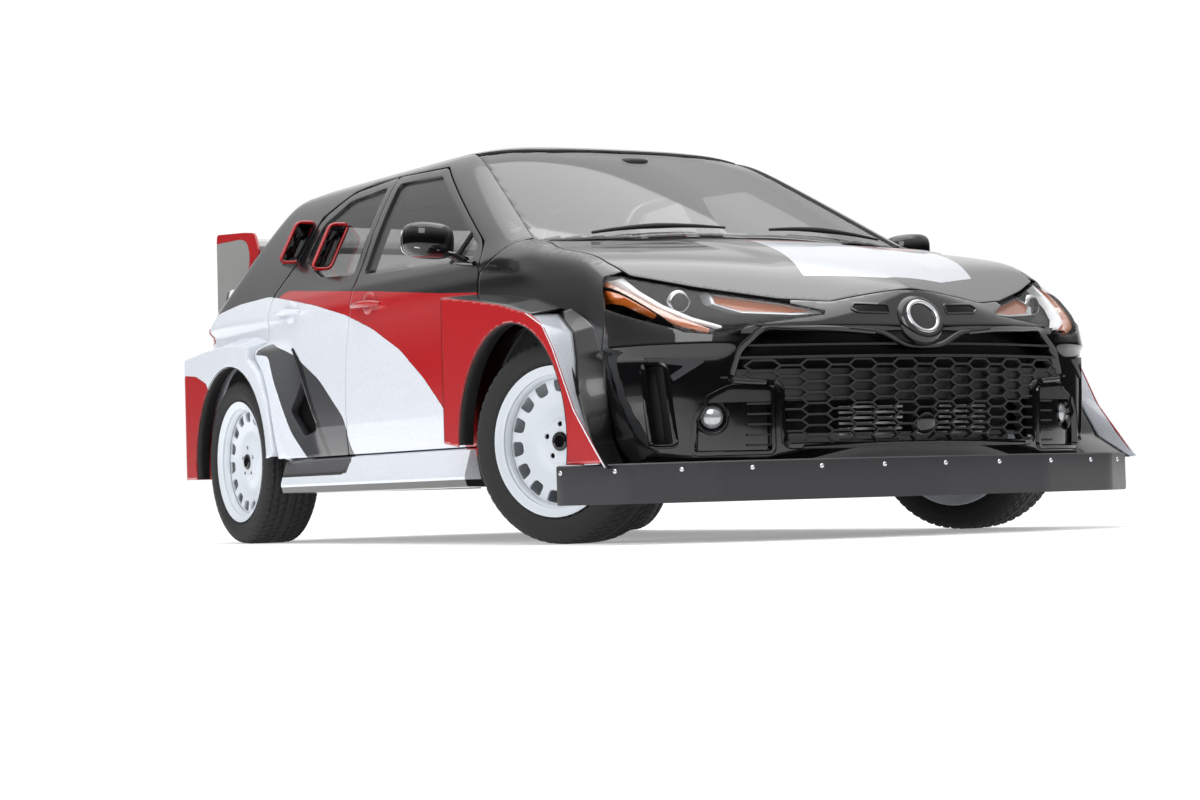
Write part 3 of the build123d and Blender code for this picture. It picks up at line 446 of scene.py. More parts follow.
def tube(path, radius, sides=10, closed=False, flat=1.0):
    """Round bar along a path: a circle carried square to it, its ends drawn to a point when open."""
    path = np.asarray(path, float)
    ahead = (np.roll(path, -1, 0) - np.roll(path, 1, 0)) if closed else np.gradient(path, axis=0)
    ahead /= np.linalg.norm(ahead, axis=1)[:, None]
    up = np.broadcast_to((0.0, 0.0, 1.0), ahead.shape)
    up = np.where(abs(ahead[:, 2:]) > 0.9, (1.0, 0.0, 0.0), up)
    side = np.cross(ahead, up)
    side /= np.linalg.norm(side, axis=1)[:, None]
    top = np.cross(side, ahead)
    t = np.linspace(0, 2 * pi, sides, endpoint=False)[None, :, None]
    size = np.broadcast_to(np.asarray(radius, float), len(path))[:, None, None]
    points = path[:, None] + size * (np.cos(t) * side[:, None] + flat * np.sin(t) * top[:, None])
    if not closed:
        points = np.concatenate([np.broadcast_to(path[0], (1, sides, 3)), points,
                                 np.broadcast_to(path[-1], (1, sides, 3))])
    return points.reshape(-1, 3), grid_faces(len(points), sides, closed, True)[:, ::-1]


def slab(outline, lift_near, lift_far, cell):
    """Closed plate between two lifts of one flat outline, with a wall round its edge."""
    near, far = surface(lift_near, outline, (), cell), surface(lift_far, outline, (), cell)
    loop = walk(outline, cell / 2)
    wall, wall_faces = ruled(lift_near[0](*loop.T), lift_far[0](*loop.T), 2, True)
    area = np.sum(loop[:, 0] * np.roll(loop[:, 1], -1) - loop[:, 1] * np.roll(loop[:, 0], -1))
    return joined(near, (far[0], far[1][:, ::-1]), (wall, wall_faces if area > 0 else wall_faces[:, ::-1]))


def plane_x(x):
    """(y, z) to the upright plane at x."""
    return (lambda u, v: np.column_stack([np.full_like(u, x), u, v])), (np.sign(x) or 1.0, 0, 0)


# Materials

def hex_linear(text):
    """An sRGB hex colour as four linear numbers, the last for full cover."""
    srgb = np.array([int(text[k:k + 2], 16) for k in (1, 3, 5)]) / 255
    linear = np.where(srgb <= 0.04045, srgb / 12.92, ((srgb + 0.055) / 1.055) ** 2.4)
    return (*linear.tolist(), 1.0)


def add_node(tree, kind, links=None, **settings):
    """Adds one node: settings named in_N or in_Name set sockets, others properties; links join sockets."""
    node = tree.nodes.new(kind)
    for key, value in settings.items():
        if key.startswith("in_"):
            name = key[3:]
            node.inputs[int(name) if name.isdigit() else name.replace("_", " ")].default_value = value
        else:
            setattr(node, key, value)
    for name, source in (links or {}).items():
        tree.links.new(source, node.inputs[name])
    return node


def new_material(name, colour, roughness, **settings):
    """Principled material with plain values; returns it, its tree and its shader."""
    material = bpy.data.materials.new(name)
    material.use_nodes = True
    tree = material.node_tree
    shader = tree.nodes["Principled BSDF"]
    shader.inputs["Base Color"].default_value = hex_linear(colour)
    shader.inputs["Roughness"].default_value = roughness
    for key, value in settings.items():
        shader.inputs[key.replace("_", " ")].default_value = value
    return material, tree, shader


def grain(tree, shader, size_mm, bump, colour=None, roughness=None):
    """Noise of a real size that lifts the surface and, where given, varies colour and roughness."""
    place = add_node(tree, "ShaderNodeTexCoord")
    noise = add_node(tree, "ShaderNodeTexNoise", {"Vector": place.outputs["Object"]},
                     in_Scale=1000 / size_mm, in_Detail=3.0)
    if bump:
        lump = add_node(tree, "ShaderNodeBump", {"Height": noise.outputs["Fac"]}, in_Strength=0.35,
                        in_Distance=bump / 1000)
        tree.links.new(lump.outputs["Normal"], shader.inputs["Normal"])
    if colour:
        ramp = add_node(tree, "ShaderNodeMix", {"Factor": noise.outputs["Fac"]}, data_type="RGBA",
                        in_6=hex_linear(colour[0]), in_7=hex_linear(colour[1]))
        tree.links.new(ramp.outputs[2], shader.inputs["Base Color"])
    if roughness:
        spread = add_node(tree, "ShaderNodeMapRange", {"Value": noise.outputs["Fac"]}, in_3=roughness[0],
                          in_4=roughness[1])
        tree.links.new(spread.outputs[0], shader.inputs["Roughness"])


FLAKE_MM = 1.5            # coarser than life, so that it shows


def flake(tree, colour):
    """Fine metal flake under lacquer: cells that each brighten or darken the colour a little."""
    place = add_node(tree, "ShaderNodeTexCoord")
    cells = add_node(tree, "ShaderNodeTexVoronoi", {"Vector": place.outputs["Object"]},
                     in_Scale=1000 / FLAKE_MM)
    part = add_node(tree, "ShaderNodeSeparateColor", {"Color": cells.outputs["Color"]})
    lift = add_node(tree, "ShaderNodeMapRange", {"Value": part.outputs[0]}, in_3=0.85, in_4=1.2)
    mixed = add_node(tree, "ShaderNodeMix", data_type="RGBA", blend_type="MULTIPLY", in_0=1.0)
    tree.links.new(lift.outputs[0], mixed.inputs[6])
    tree.links.new(colour, mixed.inputs[7])
    return mixed.outputs[2]


DARK_LACQUER = "#0e0f11"
# The last colour, near black, is painted shade along the crease of the rear door's swelling
LIVERY_AND_SHADE_COLOURS = (("grey", "#3a3b3e"), ("red", "#a8040f"), ("white", "#d3d8e0"), ("pale", "#8b8c8a"),
                  ("crease_shade", "#050506"))


def lacquer():
    """Car lacquer: dark base, livery colours and the painted shade of a crease laid on up to masked edges, flake,
    clear coat over all.
    """
    material, tree, shader = new_material("car_lacquer_three_colours", DARK_LACQUER, 0.28, Coat_Weight=0.6,
                                          Coat_Roughness=0.02, Coat_IOR=1.45)
    colour = None
    for name, tint in LIVERY_AND_SHADE_COLOURS:
        mask = add_node(tree, "ShaderNodeAttribute", attribute_name=name)
        edge = add_node(tree, "ShaderNodeMapRange", {"Value": mask.outputs["Fac"]}, in_1=0.0, in_2=0.8)
        under = {0: edge.outputs[0], 6: colour} if colour else {0: edge.outputs[0]}
        layer = add_node(tree, "ShaderNodeMix", under, data_type="RGBA", in_6=hex_linear(DARK_LACQUER),
                         in_7=hex_linear(tint))
        colour = layer.outputs[2]
    tree.links.new(flake(tree, colour), shader.inputs["Base Color"])
    return material


def plain(name, colour, roughness, size_mm=None, bump=0.0, colours=None, rough=None, **settings):
    """Material of one finish with its grain."""
    material, tree, shader = new_material(name, colour, roughness, **settings)
    if size_mm:
        grain(tree, shader, size_mm, bump, colours, rough)
    return material


# Two-layer lacquer: deep gloss over fine flake, its colours meeting at crisp edges
PAINT = lacquer()
# Gloss black moulded ABS: deep mirror finish with faint flow waves
GLOSS_BLACK = plain("abs_gloss_black", "#08080a", 0.06, 160, 0.10, None, (0.04, 0.09), Coat_Weight=0.3)
# Grained polypropylene: matte, fine pebble
GRAINED = plain("polypropylene_grained_black", "#141415", 0.55, 2.5, 0.25, ("#101011", "#1a1a1b"),
                (0.48, 0.66))
# Sheet of the dam: satin, scuffed, a little paler than the plastic round it
DAM_SHEET = plain("polyethylene_sheet_black", "#1d1e21", 0.42, 30, 0.3, ("#191a1d", "#26272b"), (0.36, 0.5))
# Lacquer in one colour on small parts: the same gloss as the livery beside them
RED = plain("gloss_red_lacquer", "#a8040f", 0.25, 1.5, 0.0, ("#9e030d", "#b00612"), Coat_Weight=0.6,
            Coat_Roughness=0.02)
WHITE = plain("gloss_white_lacquer", "#d3d8e0", 0.3, 1.5, 0.0, ("#ced3db", "#d8dde4"), Coat_Weight=0.5,
              Coat_Roughness=0.03)
# Enamel of the wheels: cool white, softer in its shine than the body
WHEEL_WHITE = plain("white_wheel_enamel", "#ced4db", 0.32, 4, 0.05, ("#c9cfd6", "#d3d9e0"), Coat_Weight=0.3)
# Rubber: dull, slightly mottled black
TYRE = plain("tyre_rubber", "#18181a", 0.72, 6, 0.4, ("#131314", "#212123"), (0.62, 0.82))
# Bright trim: sharp glints with a few duller spots
BRIGHT = plain("bright_stainless_trim", "#c9cbce", 0.14, 8, 0.0, None, (0.1, 0.2), Metallic=1.0)
# Coated steel under the car: dark and even, so that it stays in the shade
STEEL = plain("satin_coated_steel", "#121214", 0.6, 12, 0.2, ("#0e0e10", "#18181a"), (0.42, 0.6))
# Cast metal: grey, rough-skinned, broad highlights
CAST = plain("cast_aluminium", "#8e9093", 0.45, 3, 0.3, ("#7f8184", "#9c9ea1"), (0.38, 0.55), Metallic=0.9)
# Exhaust steel: warm grey metal with uneven shine
BRUSHED = plain("brushed_exhaust_steel", "#a5a4a1", 0.3, 5, 0.1, ("#94928e", "#b4b3b0"), (0.22, 0.38),
                Metallic=1.0)
# Seat cloth: soft, no shine, flecked weave
FABRIC = plain("woven_seat_fabric", "#1b1b1d", 0.85, 2.2, 0.5, ("#121213", "#29292c"), (0.78, 0.95))
# Painted shade inside lamps and openings: near black with weak reflections, so that they read as deep
SHADE_BLACK = plain("painted_shade_black", "#060607", 0.4, 5, 0.1, None, (0.35, 0.5), Specular_IOR_Level=0.12)
# Lamp plastics: glowing amber, opal white, sparkling clear ribs, deep red
AMBER = plain("amber_lamp_plastic", "#d8641c", 0.18, 7, 0.6, ("#b94a10", "#f08a3c"), Transmission_Weight=0.3)
GUIDE = plain("opal_light_guide", "#f2f4f6", 0.25, 20, 0.0, ("#e8ebee", "#fbfcfd"), Emission_Strength=0.25)
CLEAR_RIB = plain("ribbed_clear_plastic", "#b9bcc0", 0.12, 5, 0.8, ("#8f9296", "#d9dbde"), Metallic=0.5)
RED_LENS = plain("red_lamp_plastic", "#8c0a12", 0.12, 6, 0.5, ("#75070e", "#a5121b"), Coat_Weight=0.6)


def glass(name, tint, hidden):
    """Thin clear or tinted sheet: it hides a share of what lies behind and mirrors the rest of the room."""
    return new_material(name, tint, 0.02, Alpha=hidden, Specular_IOR_Level=1.0, Coat_Weight=1.0)[0]


# Glass: side windows show the seats dimly, the windscreen hides more, lamp lenses hide next to nothing
TINTED = glass("tinted_window_glass", "#101315", 0.32)
SCREEN_GLASS = glass("laminated_screen_glass", "#0c0e10", 0.55)
LENS = glass("polycarbonate_lens", "#0a0b0c", 0.10)


# Outlines of the panels, in millimetres: (y, z) on the side, (x, y) on top, (x, z) at front and back

FRONT_DOOR = ((513, 335), (513, 935), (560, 1040), (1185, 1378), (1640, 1396), (1594, 1000), (1594, 335))
FRONT_WINDOW = ((600, 985), (602, 1036), (1198, 1350), (1590, 1364), (1550, 1012))
FRONT_OPENING = ((509, 329), (509, 938), (554, 1043), (1183, 1384), (1642, 1402), (1609, 1000), (1609, 329))
REAR_DOOR = ((1600, 335), (1600, 1000), (1646, 1396), (2030, 1374), (2235, 1290), (2300, 1115), (2428, 985),
             (2428, 748), (2330, 690), (2245, 562), (2184, 335))
REAR_WINDOW = ((1648, 1016), (1690, 1362), (2020, 1342), (2190, 1264), (2215, 1120), (1980, 1036))
REAR_OPENING = ((1585, 329), (1585, 1000), (1630, 1402), (1860, 1402), (2036, 1384), (2250, 1302),
                (2314, 1121), (2436, 991), (2436, 742), (2335, 684), (2251, 558), (2191, 329))
QUARTER_WINDOW = ((2345, 1150), (2306, 1282), (2480, 1196), (2500, 1150))
DOOR_VENT = ((2038, 640), (2096, 521), (1983, 415), (1882, 443))
SEAM = ((-345, 858), (-352, 830), (-400, 700), (-392, 560))      # bumper to fender
BUMPER_REAR = ((-405, 480), (-418, 334), (-408, 255), (-408, 200))
HOOD_HALF = ((0, -800), (290, -768), (430, -690), (650, -520), (790, -396), (812, -300), (806, 0), (748, 236),
             (400, 140), (0, 104))
SCREEN_HALF = ((0, 190), (420, 226), (752, 326), (566, 1125), (300, 1062), (0, 1040))
COWL_HALF = ((0, 112), (400, 148), (745, 246), (752, 330), (420, 246), (0, 210))
ROOF_HALF = ((0, 1046), (300, 1068), (560, 1131), (576, 1500), (568, 2722), (0, 2722))
TAILGATE_HALF = ((0, 655), (590, 655), (645, 900), (640, 1060), (556, 1414), (0, 1414))
REAR_LIGHT_HALF = ((0, 1090), (520, 1090), (450, 1345), (0, 1345))
GRILLE_HALF = ((0, 594), (66, 598), (104, 616), (150, 640), (300, 651), (536, 656), (610, 590), (640, 496),
               (484, 486), (476, 290), (0, 290))
LAMP = ((300, 702), (420, 742), (640, 792), (862, 858), (884, 836), (770, 650), (660, 638), (540, 670))
FOG = (690, 385)
FOG_POCKET = ((508, 470), (640, 478), (706, 444), (738, 376), (742, 272), (508, 272))
VENT = ((782, 300), (834, 300), (852, 556), (806, 556))
TAIL_LAMP = ((655, 826), (655, 905), (790, 946), (852, 930), (856, 838))
BUMPER_BACK_HALF = ((0, 652), (760, 652), (752, 420), (730, 290), (0, 262))
ARCH_FRONT, ARCH_REAR = 406.0, 396.0                              # radii of the openings in fender and side

# Livery: on the side a red band over white along one edge and a dark panel ahead of the rear wheel
LIVERY_EDGE = ((560, 300), (640, 380), (775, 498), (901, 589), (1106, 701), (1365, 794), (1637, 865),
               (1924, 920), (2175, 958), (2383, 986))
RED_BAND = ((300, 300), (300, 856), (500, 862), (812, 884), (1412, 938), (1642, 956), (2080, 991),
            (2284, 1008), *LIVERY_EDGE[::-1])
WHITE_FIELD = (*LIVERY_EDGE, (2480, 998), (2800, 990), (3150, 950), (3450, 900), (3450, 300))
DARK_PANEL = ((2361, 808), (2118, 737), (1852, 630), (1613, 471), (1582, 372), (1486, 272), (2500, 272),
              (2500, 700), (2428, 748))
# Painted shade: a near-black band along the crease of the rear door's swelling
CREASE_SHADE_BAND = ((2175, 778), (2140, 772), (2036, 702), (1935, 567), (1755, 325), (1798, 325), (1972, 567),
                (2072, 690))
WHITE_LIP = ((2440, 760), (2311, 749), (2243, 651), (2073, 434), (1903, 284), (1880, 240), (2440, 240))
HOOD_WHITE = ((-286, -618), (-33, -715), (200, -690), (418, -560), (560, -200), (690, 110), (-74, 34))
HOOD_RED = ((-74, 34), (690, 110), (700, 170), (-92, 84))
FULL = 5.0                # mask value of a piece that has one colour all over


# Pieces and panels

def stands_for(node, hand_name):
    """Nodes a piece replaces: the one of its own hand, or one of both hands, which the left piece takes."""
    if not node:
        return ()
    return (node.format(hand_name),) if "{}" in node or hand_name == "left" else ()


def piece(name, shape, materials, slot, body="shell", node=None, smooth=50.0):
    """List of a finished piece, or of a left one and its mirror image where the name has a gap."""
    materials = materials if isinstance(materials, tuple) else (materials,)
    made = []
    for hand_name, hand in HANDS if "{}" in name else HANDS[:1]:
        obj = mesh_object(name.format(hand_name), shape if hand > 0 else mirrored(shape), materials,
                          body.format(hand_name), smooth)
        nodes = stands_for(node, hand_name)
        if nodes:
            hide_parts(*nodes)
        made.append(obj)
    return made


def skin(name, lift, outline, holes=(), slot="paint_dark", materials=(PAINT, GRAINED), cell=12.0, wall=3.0,
         edge=2.0, body="shell", node=None):
    """Panel: trimmed grid on the body with a wall inwards, lined with the last material, edges softened."""
    made = piece(name, surface(lift, outline, holes, cell), materials, slot, body, node, 35.0)
    for obj in made:
        thicken(obj, wall, len(materials) - 1)
        if edge:
            soften(obj, edge)
    return made


def paint_mask(obj, name, distance):
    """Stores a distance in mm, positive where the colour lies, on the mesh's points."""
    obj.data.attributes.new(name, "FLOAT", "POINT").data.foreach_set("value", distance.astype(np.float32))


def mesh_points(obj):
    """Points of an object's mesh in body millimetres."""
    co = np.empty(len(obj.data.vertices) * 3, np.float32)
    obj.data.vertices.foreach_get("co", co)
    return co.reshape(-1, 3).astype(float) * 1000 - (0, AXLE_Y, 0)


def paint_side(obj):
    """Lays the red band, white field, dark panel and the painted shade along its crease on a side piece."""
    flat = mesh_points(obj)[:, 1:]
    dark = np.minimum(outline_gap(flat, rounded(DARK_PANEL, 60)), -outline_gap(flat, rounded(WHITE_LIP, 30)))
    paint_mask(obj, "grey", dark)
    paint_mask(obj, "red", outline_gap(flat, rounded(RED_BAND, 30)))
    paint_mask(obj, "white", np.minimum(outline_gap(flat, rounded(WHITE_FIELD, 30)), -dark))
    paint_mask(obj, "crease_shade", outline_gap(flat, rounded(CREASE_SHADE_BAND, 14)))


def door_gap(x, y, z):
    """Body with the rear door's swelling, which rises 52 mm behind a slanted line to meet the rear flare."""
    behind = ((y - 1850) * 441 - (z - 345) * 300) / 533
    return body_gap(x, y, z) - 52 * step(0, 230, behind) * step(815, 772, z)


PANE = {"slot": "tinted_glass", "materials": (TINTED,), "edge": 0}
# Plates of painted shade, set deep in openings
SHADE_PLATE = {"slot": "dark_plastic", "materials": (SHADE_BLACK,), "edge": 0}
BLACK = {"slot": "gloss_black", "materials": (GLOSS_BLACK, GRAINED)}


# Doors, sides, fenders, roof, hood, windscreen and tailgate

for place, outline, turns, window, gap in (
        ("front", FRONT_DOOR, (6, 30, 60, 30, 20, 30, 6), FRONT_WINDOW, body_gap),
        ("rear", REAR_DOOR, (6, 30, 20, 60, 60, 60, 40, 40, 60, 60, 6), REAR_WINDOW, door_gap)):
    door = f"door_{place}_{{}}"
    holes = [rounded(window, 18)] + ([rounded(DOOR_VENT, 16)] if place == "rear" else [])
    for obj in skin(f"door_skin_{place}_{{}}", from_side(0, gap), rounded(outline, turns), holes, cell=11.0,
                    wall=42.0, body=door, node=door):
        paint_side(obj)
    skin(f"window_{place}_{{}}", from_side(9), rounded(scaled(window, 9), 18), cell=24.0, wall=4.0, body=door,
         node=f"glass_{place}_{{}}", **PANE)
# Near-black plate of painted shade, sunk behind the rear door's vent
skin("door_vent_back_{}", from_side(34, door_gap), rounded(scaled(DOOR_VENT, 6), 16), cell=14.0,
     body="door_rear_{}", **SHADE_PLATE)

roof_rail = top_edge(((566, 1131), (580, 1500), (572, 2716)), 40)
screen_rail = top_edge(((756, 326), (570, 1125)), 30)
hood_rail = top_edge(((754, 236), (811, 0), (817, -300), (797, -397)), 34)
gate_rail = from_back()[0](*along(((643, 1070), (560, 1416)), 20).T)
rear_arch = arc((WHEELBASE - ARCH_REAR, AXLE_Z), (WHEELBASE, AXLE_Z + ARCH_REAR),
                (WHEELBASE + ARCH_REAR, AXLE_Z), 40)
front_arch = arc((14 - ARCH_FRONT, 554), (0, AXLE_Z + ARCH_FRONT), (ARCH_FRONT, AXLE_Z), 40)
SIDE = np.vstack([[(505, 212), (2180, 212), (2200, 330)], rear_arch, [(3050, 250), (3118, 250), (3118, 1052)],
                  gate_rail[:, 1:], roof_rail[::-1, 1:], screen_rail[::-1, 1:], [(505, 930)]])
FENDER = np.vstack([[(500, 345), (500, 930)], screen_rail[:1, 1:] - (6, 0), hood_rail[:, 1:], SEAM,
                    front_arch, [(430, 345)]])
side_holes = [rounded(FRONT_OPENING, 12), rounded(REAR_OPENING, 12), rounded(QUARTER_WINDOW, 20)]
for obj in skin("side_panel_{}", from_side(), SIDE, side_holes, wall=46.0, node="body_side_{}"):
    paint_side(obj)
fenders = skin("fender_{}", from_side(), FENDER, wall=8.0)
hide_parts("front_fenders")
skin("quarter_window_{}", from_side(9), rounded(scaled(QUARTER_WINDOW, 8), 20), cell=20.0, wall=4.0,
     node="quarter_glass", **PANE)

skin("roof_skin", from_top(), both_halves(ROOF_HALF), cell=20.0, wall=12.0, node="roof_panel")
hood, = skin("hood_skin", from_top(), both_halves(HOOD_HALF), wall=10.0, body="hood", node="hood")
for colour, patch in (("white", HOOD_WHITE), ("red", HOOD_RED)):
    paint_mask(hood, colour, outline_gap(mesh_points(hood)[:, :2], patch))
skin("windscreen_glass", from_top(7, cabin_gap, CABIN_LEVEL), rounded(both_halves(SCREEN_HALF), 25),
     cell=24.0, wall=5.0, edge=0, slot="tinted_glass", materials=(SCREEN_GLASS,), node="windscreen")
skin("cowl_tray", from_top(20), both_halves(COWL_HALF), wall=4.0, slot="dark_plastic", materials=(GRAINED,),
     node="cowl_panel")
skin("tailgate_skin", from_back(), rounded(both_halves(TAILGATE_HALF), 20),
     [rounded(both_halves(REAR_LIGHT_HALF), 30)], cell=13.0, wall=30.0, body="tailgate", node="tailgate")
skin("rear_light_glass", from_back(8), rounded(both_halves(scaled(REAR_LIGHT_HALF, 8)), 30), cell=26.0,
     wall=5.0, body="tailgate", node="tailgate_glass", **PANE)

hood_front = top_edge(((0, -805), (290, -773), (432, -696), (653, -525), (794, -400)), 40)
BUMPER = both_halves(np.vstack([ray_turn(hood_front), seam_turn(SEAM), seam_turn(BUMPER_REAR), [(0, 200)]]))
GRILLE = nose_turn(rounded(both_halves(GRILLE_HALF), 24))
LAMP_EDGE, POCKET_EDGE, VENT_EDGE = rounded(LAMP, 12), rounded(FOG_POCKET, 16), rounded(VENT, 14)
nose_holes = [nose_turn(edge) for edge in (LAMP_EDGE, POCKET_EDGE, VENT_EDGE)]
skin("bumper_skin", round_nose(), BUMPER, [GRILLE, *nose_holes, *(hole * (-1, 1) for hole in nose_holes)],
     cell=9.0, wall=10.0, node="front_bumper", **BLACK)


# Front end: grille, lamps, fog pockets, corner vents, dam

def on_nose(points, inset):
    """Front-view points (x, z) carried to the nose, sunk by inset, as 3-D points."""
    return from_front(inset)[0](*np.asarray(points, float).T)


def across(ahead):
    """Unit directions square to flat ones."""
    ahead = ahead / np.linalg.norm(ahead, axis=1)[:, None]
    return np.column_stack([-ahead[:, 1], ahead[:, 0]])


def bars(starts, ends, width, near, far):
    """Square bars between flat points on the nose: six faces each, from depth near to depth far."""
    a, b = np.asarray(starts, float), np.asarray(ends, float)
    side = across(b - a) * width / 2
    reach = np.column_stack([side[:, 1], -side[:, 0]])
    a, b = a - reach, b + reach
    flat = np.concatenate([a + side, a - side, b + side, b - side])
    points = np.vstack([round_nose(depth)[0](*flat.T) for depth in (near, far)])
    corners = np.array(((0, 1, 3, 2), (0, 2, 6, 4), (1, 5, 7, 3), (4, 6, 7, 5), (0, 4, 5, 1), (2, 3, 7, 6)))
    return points, (corners[:, None] * len(a) + np.arange(len(a))[None, :, None]).reshape(-1, 4)


def frame_bead(outline, width, proud, sink):
    """Frame along a nose outline: a D-shaped profile carried round it, from proud of the skin to sunk."""
    loop = walk(outline, 7.0)
    side = across(np.roll(loop, -1, 0) - np.roll(loop, 1, 0))
    profile = ((-0.5, sink), (-0.5, 0), (-0.3, -proud), (0.3, -proud), (0.5, 0), (0.5, sink))
    rows = np.stack([round_nose(depth)[0](*(loop + side * part * width).T) for part, depth in profile])
    return rows.reshape(-1, 3), grid_faces(len(profile), len(loop), False, True)


def ribbon(points, width, near, far, count=40):
    """Band on the nose along a front-view path: flat-topped profile, width across, depth near to far."""
    path = along(points, count)
    side = across(np.gradient(path, axis=0))
    widths = np.atleast_1d(width)
    wide = np.interp(np.linspace(0, 1, count), np.linspace(0, 1, len(widths)), widths)[:, None]
    profile = ((-0.5, far), (-0.5, near + 2), (-0.35, near), (0.35, near), (0.5, near + 2), (0.5, far))
    rows = np.stack([on_nose(path + side * wide * part, depth) for part, depth in profile])
    return rows.reshape(-1, 3), grid_faces(len(profile), count, False, False)


def nose_disc(centre, profile, count=48):
    """Boss on the nose: rows of (radius, height above the skin at its centre) turned about the normal."""
    at = on_nose([centre], 0)[0]
    tip = on_nose([(centre[0] + 5, centre[1]), (centre[0], centre[1] + 5)], 0)
    normal = np.cross(tip[0] - at, tip[1] - at)
    normal /= np.linalg.norm(normal) * (1 if normal[1] < 0 else -1)
    level = np.cross((0, 0, 1.0), normal)
    level /= np.linalg.norm(level)
    up = np.cross(normal, level)
    radius, height = np.asarray(profile, float).T[:, :, None]
    t = np.linspace(0, 2 * pi, count, endpoint=False)[:, None, None]
    points = at + radius * (np.cos(t) * level + np.sin(t) * up) + height * normal
    return points.reshape(-1, 3), grid_faces(count, len(radius), True, False)


# Mesh of flat-topped hexagons below two long bars
HEX_PITCH, HEX_TALL, HEX_FLAT = 82.0, 34.0, 30.0        # column pitch, cell height, half of a cell's flat top
MESH_FOOT, MESH_TOP = 285.0, 566.0
HEX_EDGES = (((-HEX_FLAT, 0.5), (HEX_FLAT, 0.5)), ((HEX_FLAT, 0.5), (HEX_PITCH - HEX_FLAT, 0.0)),
             ((HEX_FLAT, -0.5), (HEX_PITCH - HEX_FLAT, 0.0)))
column, row = (part.ravel() for part in np.meshgrid(np.arange(-10, 11), np.arange(-1, 10), indexing="ij"))
cells = np.column_stack([column * HEX_PITCH, MESH_FOOT + (row + 0.5 * (column % 2)) * HEX_TALL])
starts, ends = (np.vstack([cells + np.multiply(edge[k], (1, HEX_TALL)) for edge in HEX_EDGES])
                for k in (0, 1))
keep = within((starts + ends) / 2, GRILLE) & (np.maximum(starts, ends)[:, 1] < MESH_TOP)
mesh_parts = [bars(starts[keep], ends[keep], 6.5, -4, 14)]
for height, reach, thick, near in ((MESH_TOP, 690, 9.0, -4), (604, 640, 7.0, 0)):
    level = np.column_stack([np.linspace(-reach, reach, 90), np.full(90, float(height))])
    level = level[within(level, GRILLE)]
    mesh_parts.append(bars(level[:-1], level[1:], thick, near, near + 17))
mesh, = piece("grille_mesh", joined(*mesh_parts), GRAINED, "dark_plastic", node="grille", smooth=30)
soften(mesh, 1.2, 1, 30)
# Near-black sheet of painted shade, far behind the mesh and fins
GRILLE_SHADE_BACKDROP = rounded(((-735, 240), (735, 240), (735, 700), (-735, 700)), 60)
skin("grille_shade_backdrop", round_nose(75), GRILLE_SHADE_BACKDROP, cell=30.0, **SHADE_PLATE)
piece("grille_frame", frame_bead(GRILLE, 20, 7, 40), GLOSS_BLACK, "gloss_black", smooth=60)
sensor = nose_disc((0, 352), ((36, -22), (36, 2), (30, 6), (0, 7)))
piece("grille_sensor", sensor, GLOSS_BLACK, "dark_plastic", smooth=40)

# Intercooler seen through the mesh: two rows of fins beside the sensor
fins = [bars([(u0, z)], [(u1, z)], 7.0, 26, 42) for z in np.arange(306, 412, 17.0)
        for u0, u1 in ((-330, -210), (-200, -85), (85, 200), (210, 330))]
piece("intercooler_fins", joined(*fins), CAST, "cast_aluminium", smooth=30)

# Plain black boss with a bare ring, and a slot on each side of it
BOSS = (0.0, 683.0)
BOSS_PROFILE = ((86, -20), (84, 2), (74, 12), (66, 14), (0, 15))
RING_PROFILE = ((60, 13), (60, 18), (56, 21), (50, 21), (47, 18), (47, 13))
SLOT = rounded(((108, 702), (108, 730), (222, 735), (242, 718), (222, 705)), 5)
piece("nose_boss", nose_disc(BOSS, BOSS_PROFILE), GLOSS_BLACK, "gloss_black")
piece("nose_ring", nose_disc(BOSS, RING_PROFILE), BRIGHT, "gloss_black")
piece("nose_slot_frame_{}", frame_bead(nose_turn(SLOT), 8, 4, 5), GLOSS_BLACK, "gloss_black", smooth=40)
# The inside of each slot is a near-black patch of painted shade, a little proud of the skin
piece("nose_slot_floor_{}", surface(from_front(-0.8), SLOT, (), 7.0), SHADE_BLACK, "gloss_black", smooth=40)

# Headlamps in layers: well, light guide, amber side strip, ribbed indicator, projector, clear lens
LIGHT_STRIP = ((812, 838), (800, 790), (768, 736), (716, 692), (650, 664))
AMBER_STRIP = ((866, 838), (850, 800), (812, 738), (766, 688), (690, 652))
INDICATOR = ((318, 706), (420, 738), (600, 778), (616, 742), (560, 712), (420, 702))
PROJECTOR = (690, 752)
PROJECTOR_RING = ((-20, 40), (0, 40), (6, 36), (10, 30), (10, 28))
PROJECTOR_LENS = ((4, 30), (14, 26), (22, 16), (26, 0))
PROJECTOR_AIM = np.array(((0.25, -0.96, 0.0), (0.96, 0.25, 0.0), (0.0, 0.0, 1.0)))


def projector(profile):
    """Lathe about the lamp's line of sight, sunk 36 mm under the lens."""
    points, faces = turned(profile, 40, (0, 0, 0))
    return points @ PROJECTOR_AIM + on_nose([PROJECTOR], 36)[0], faces


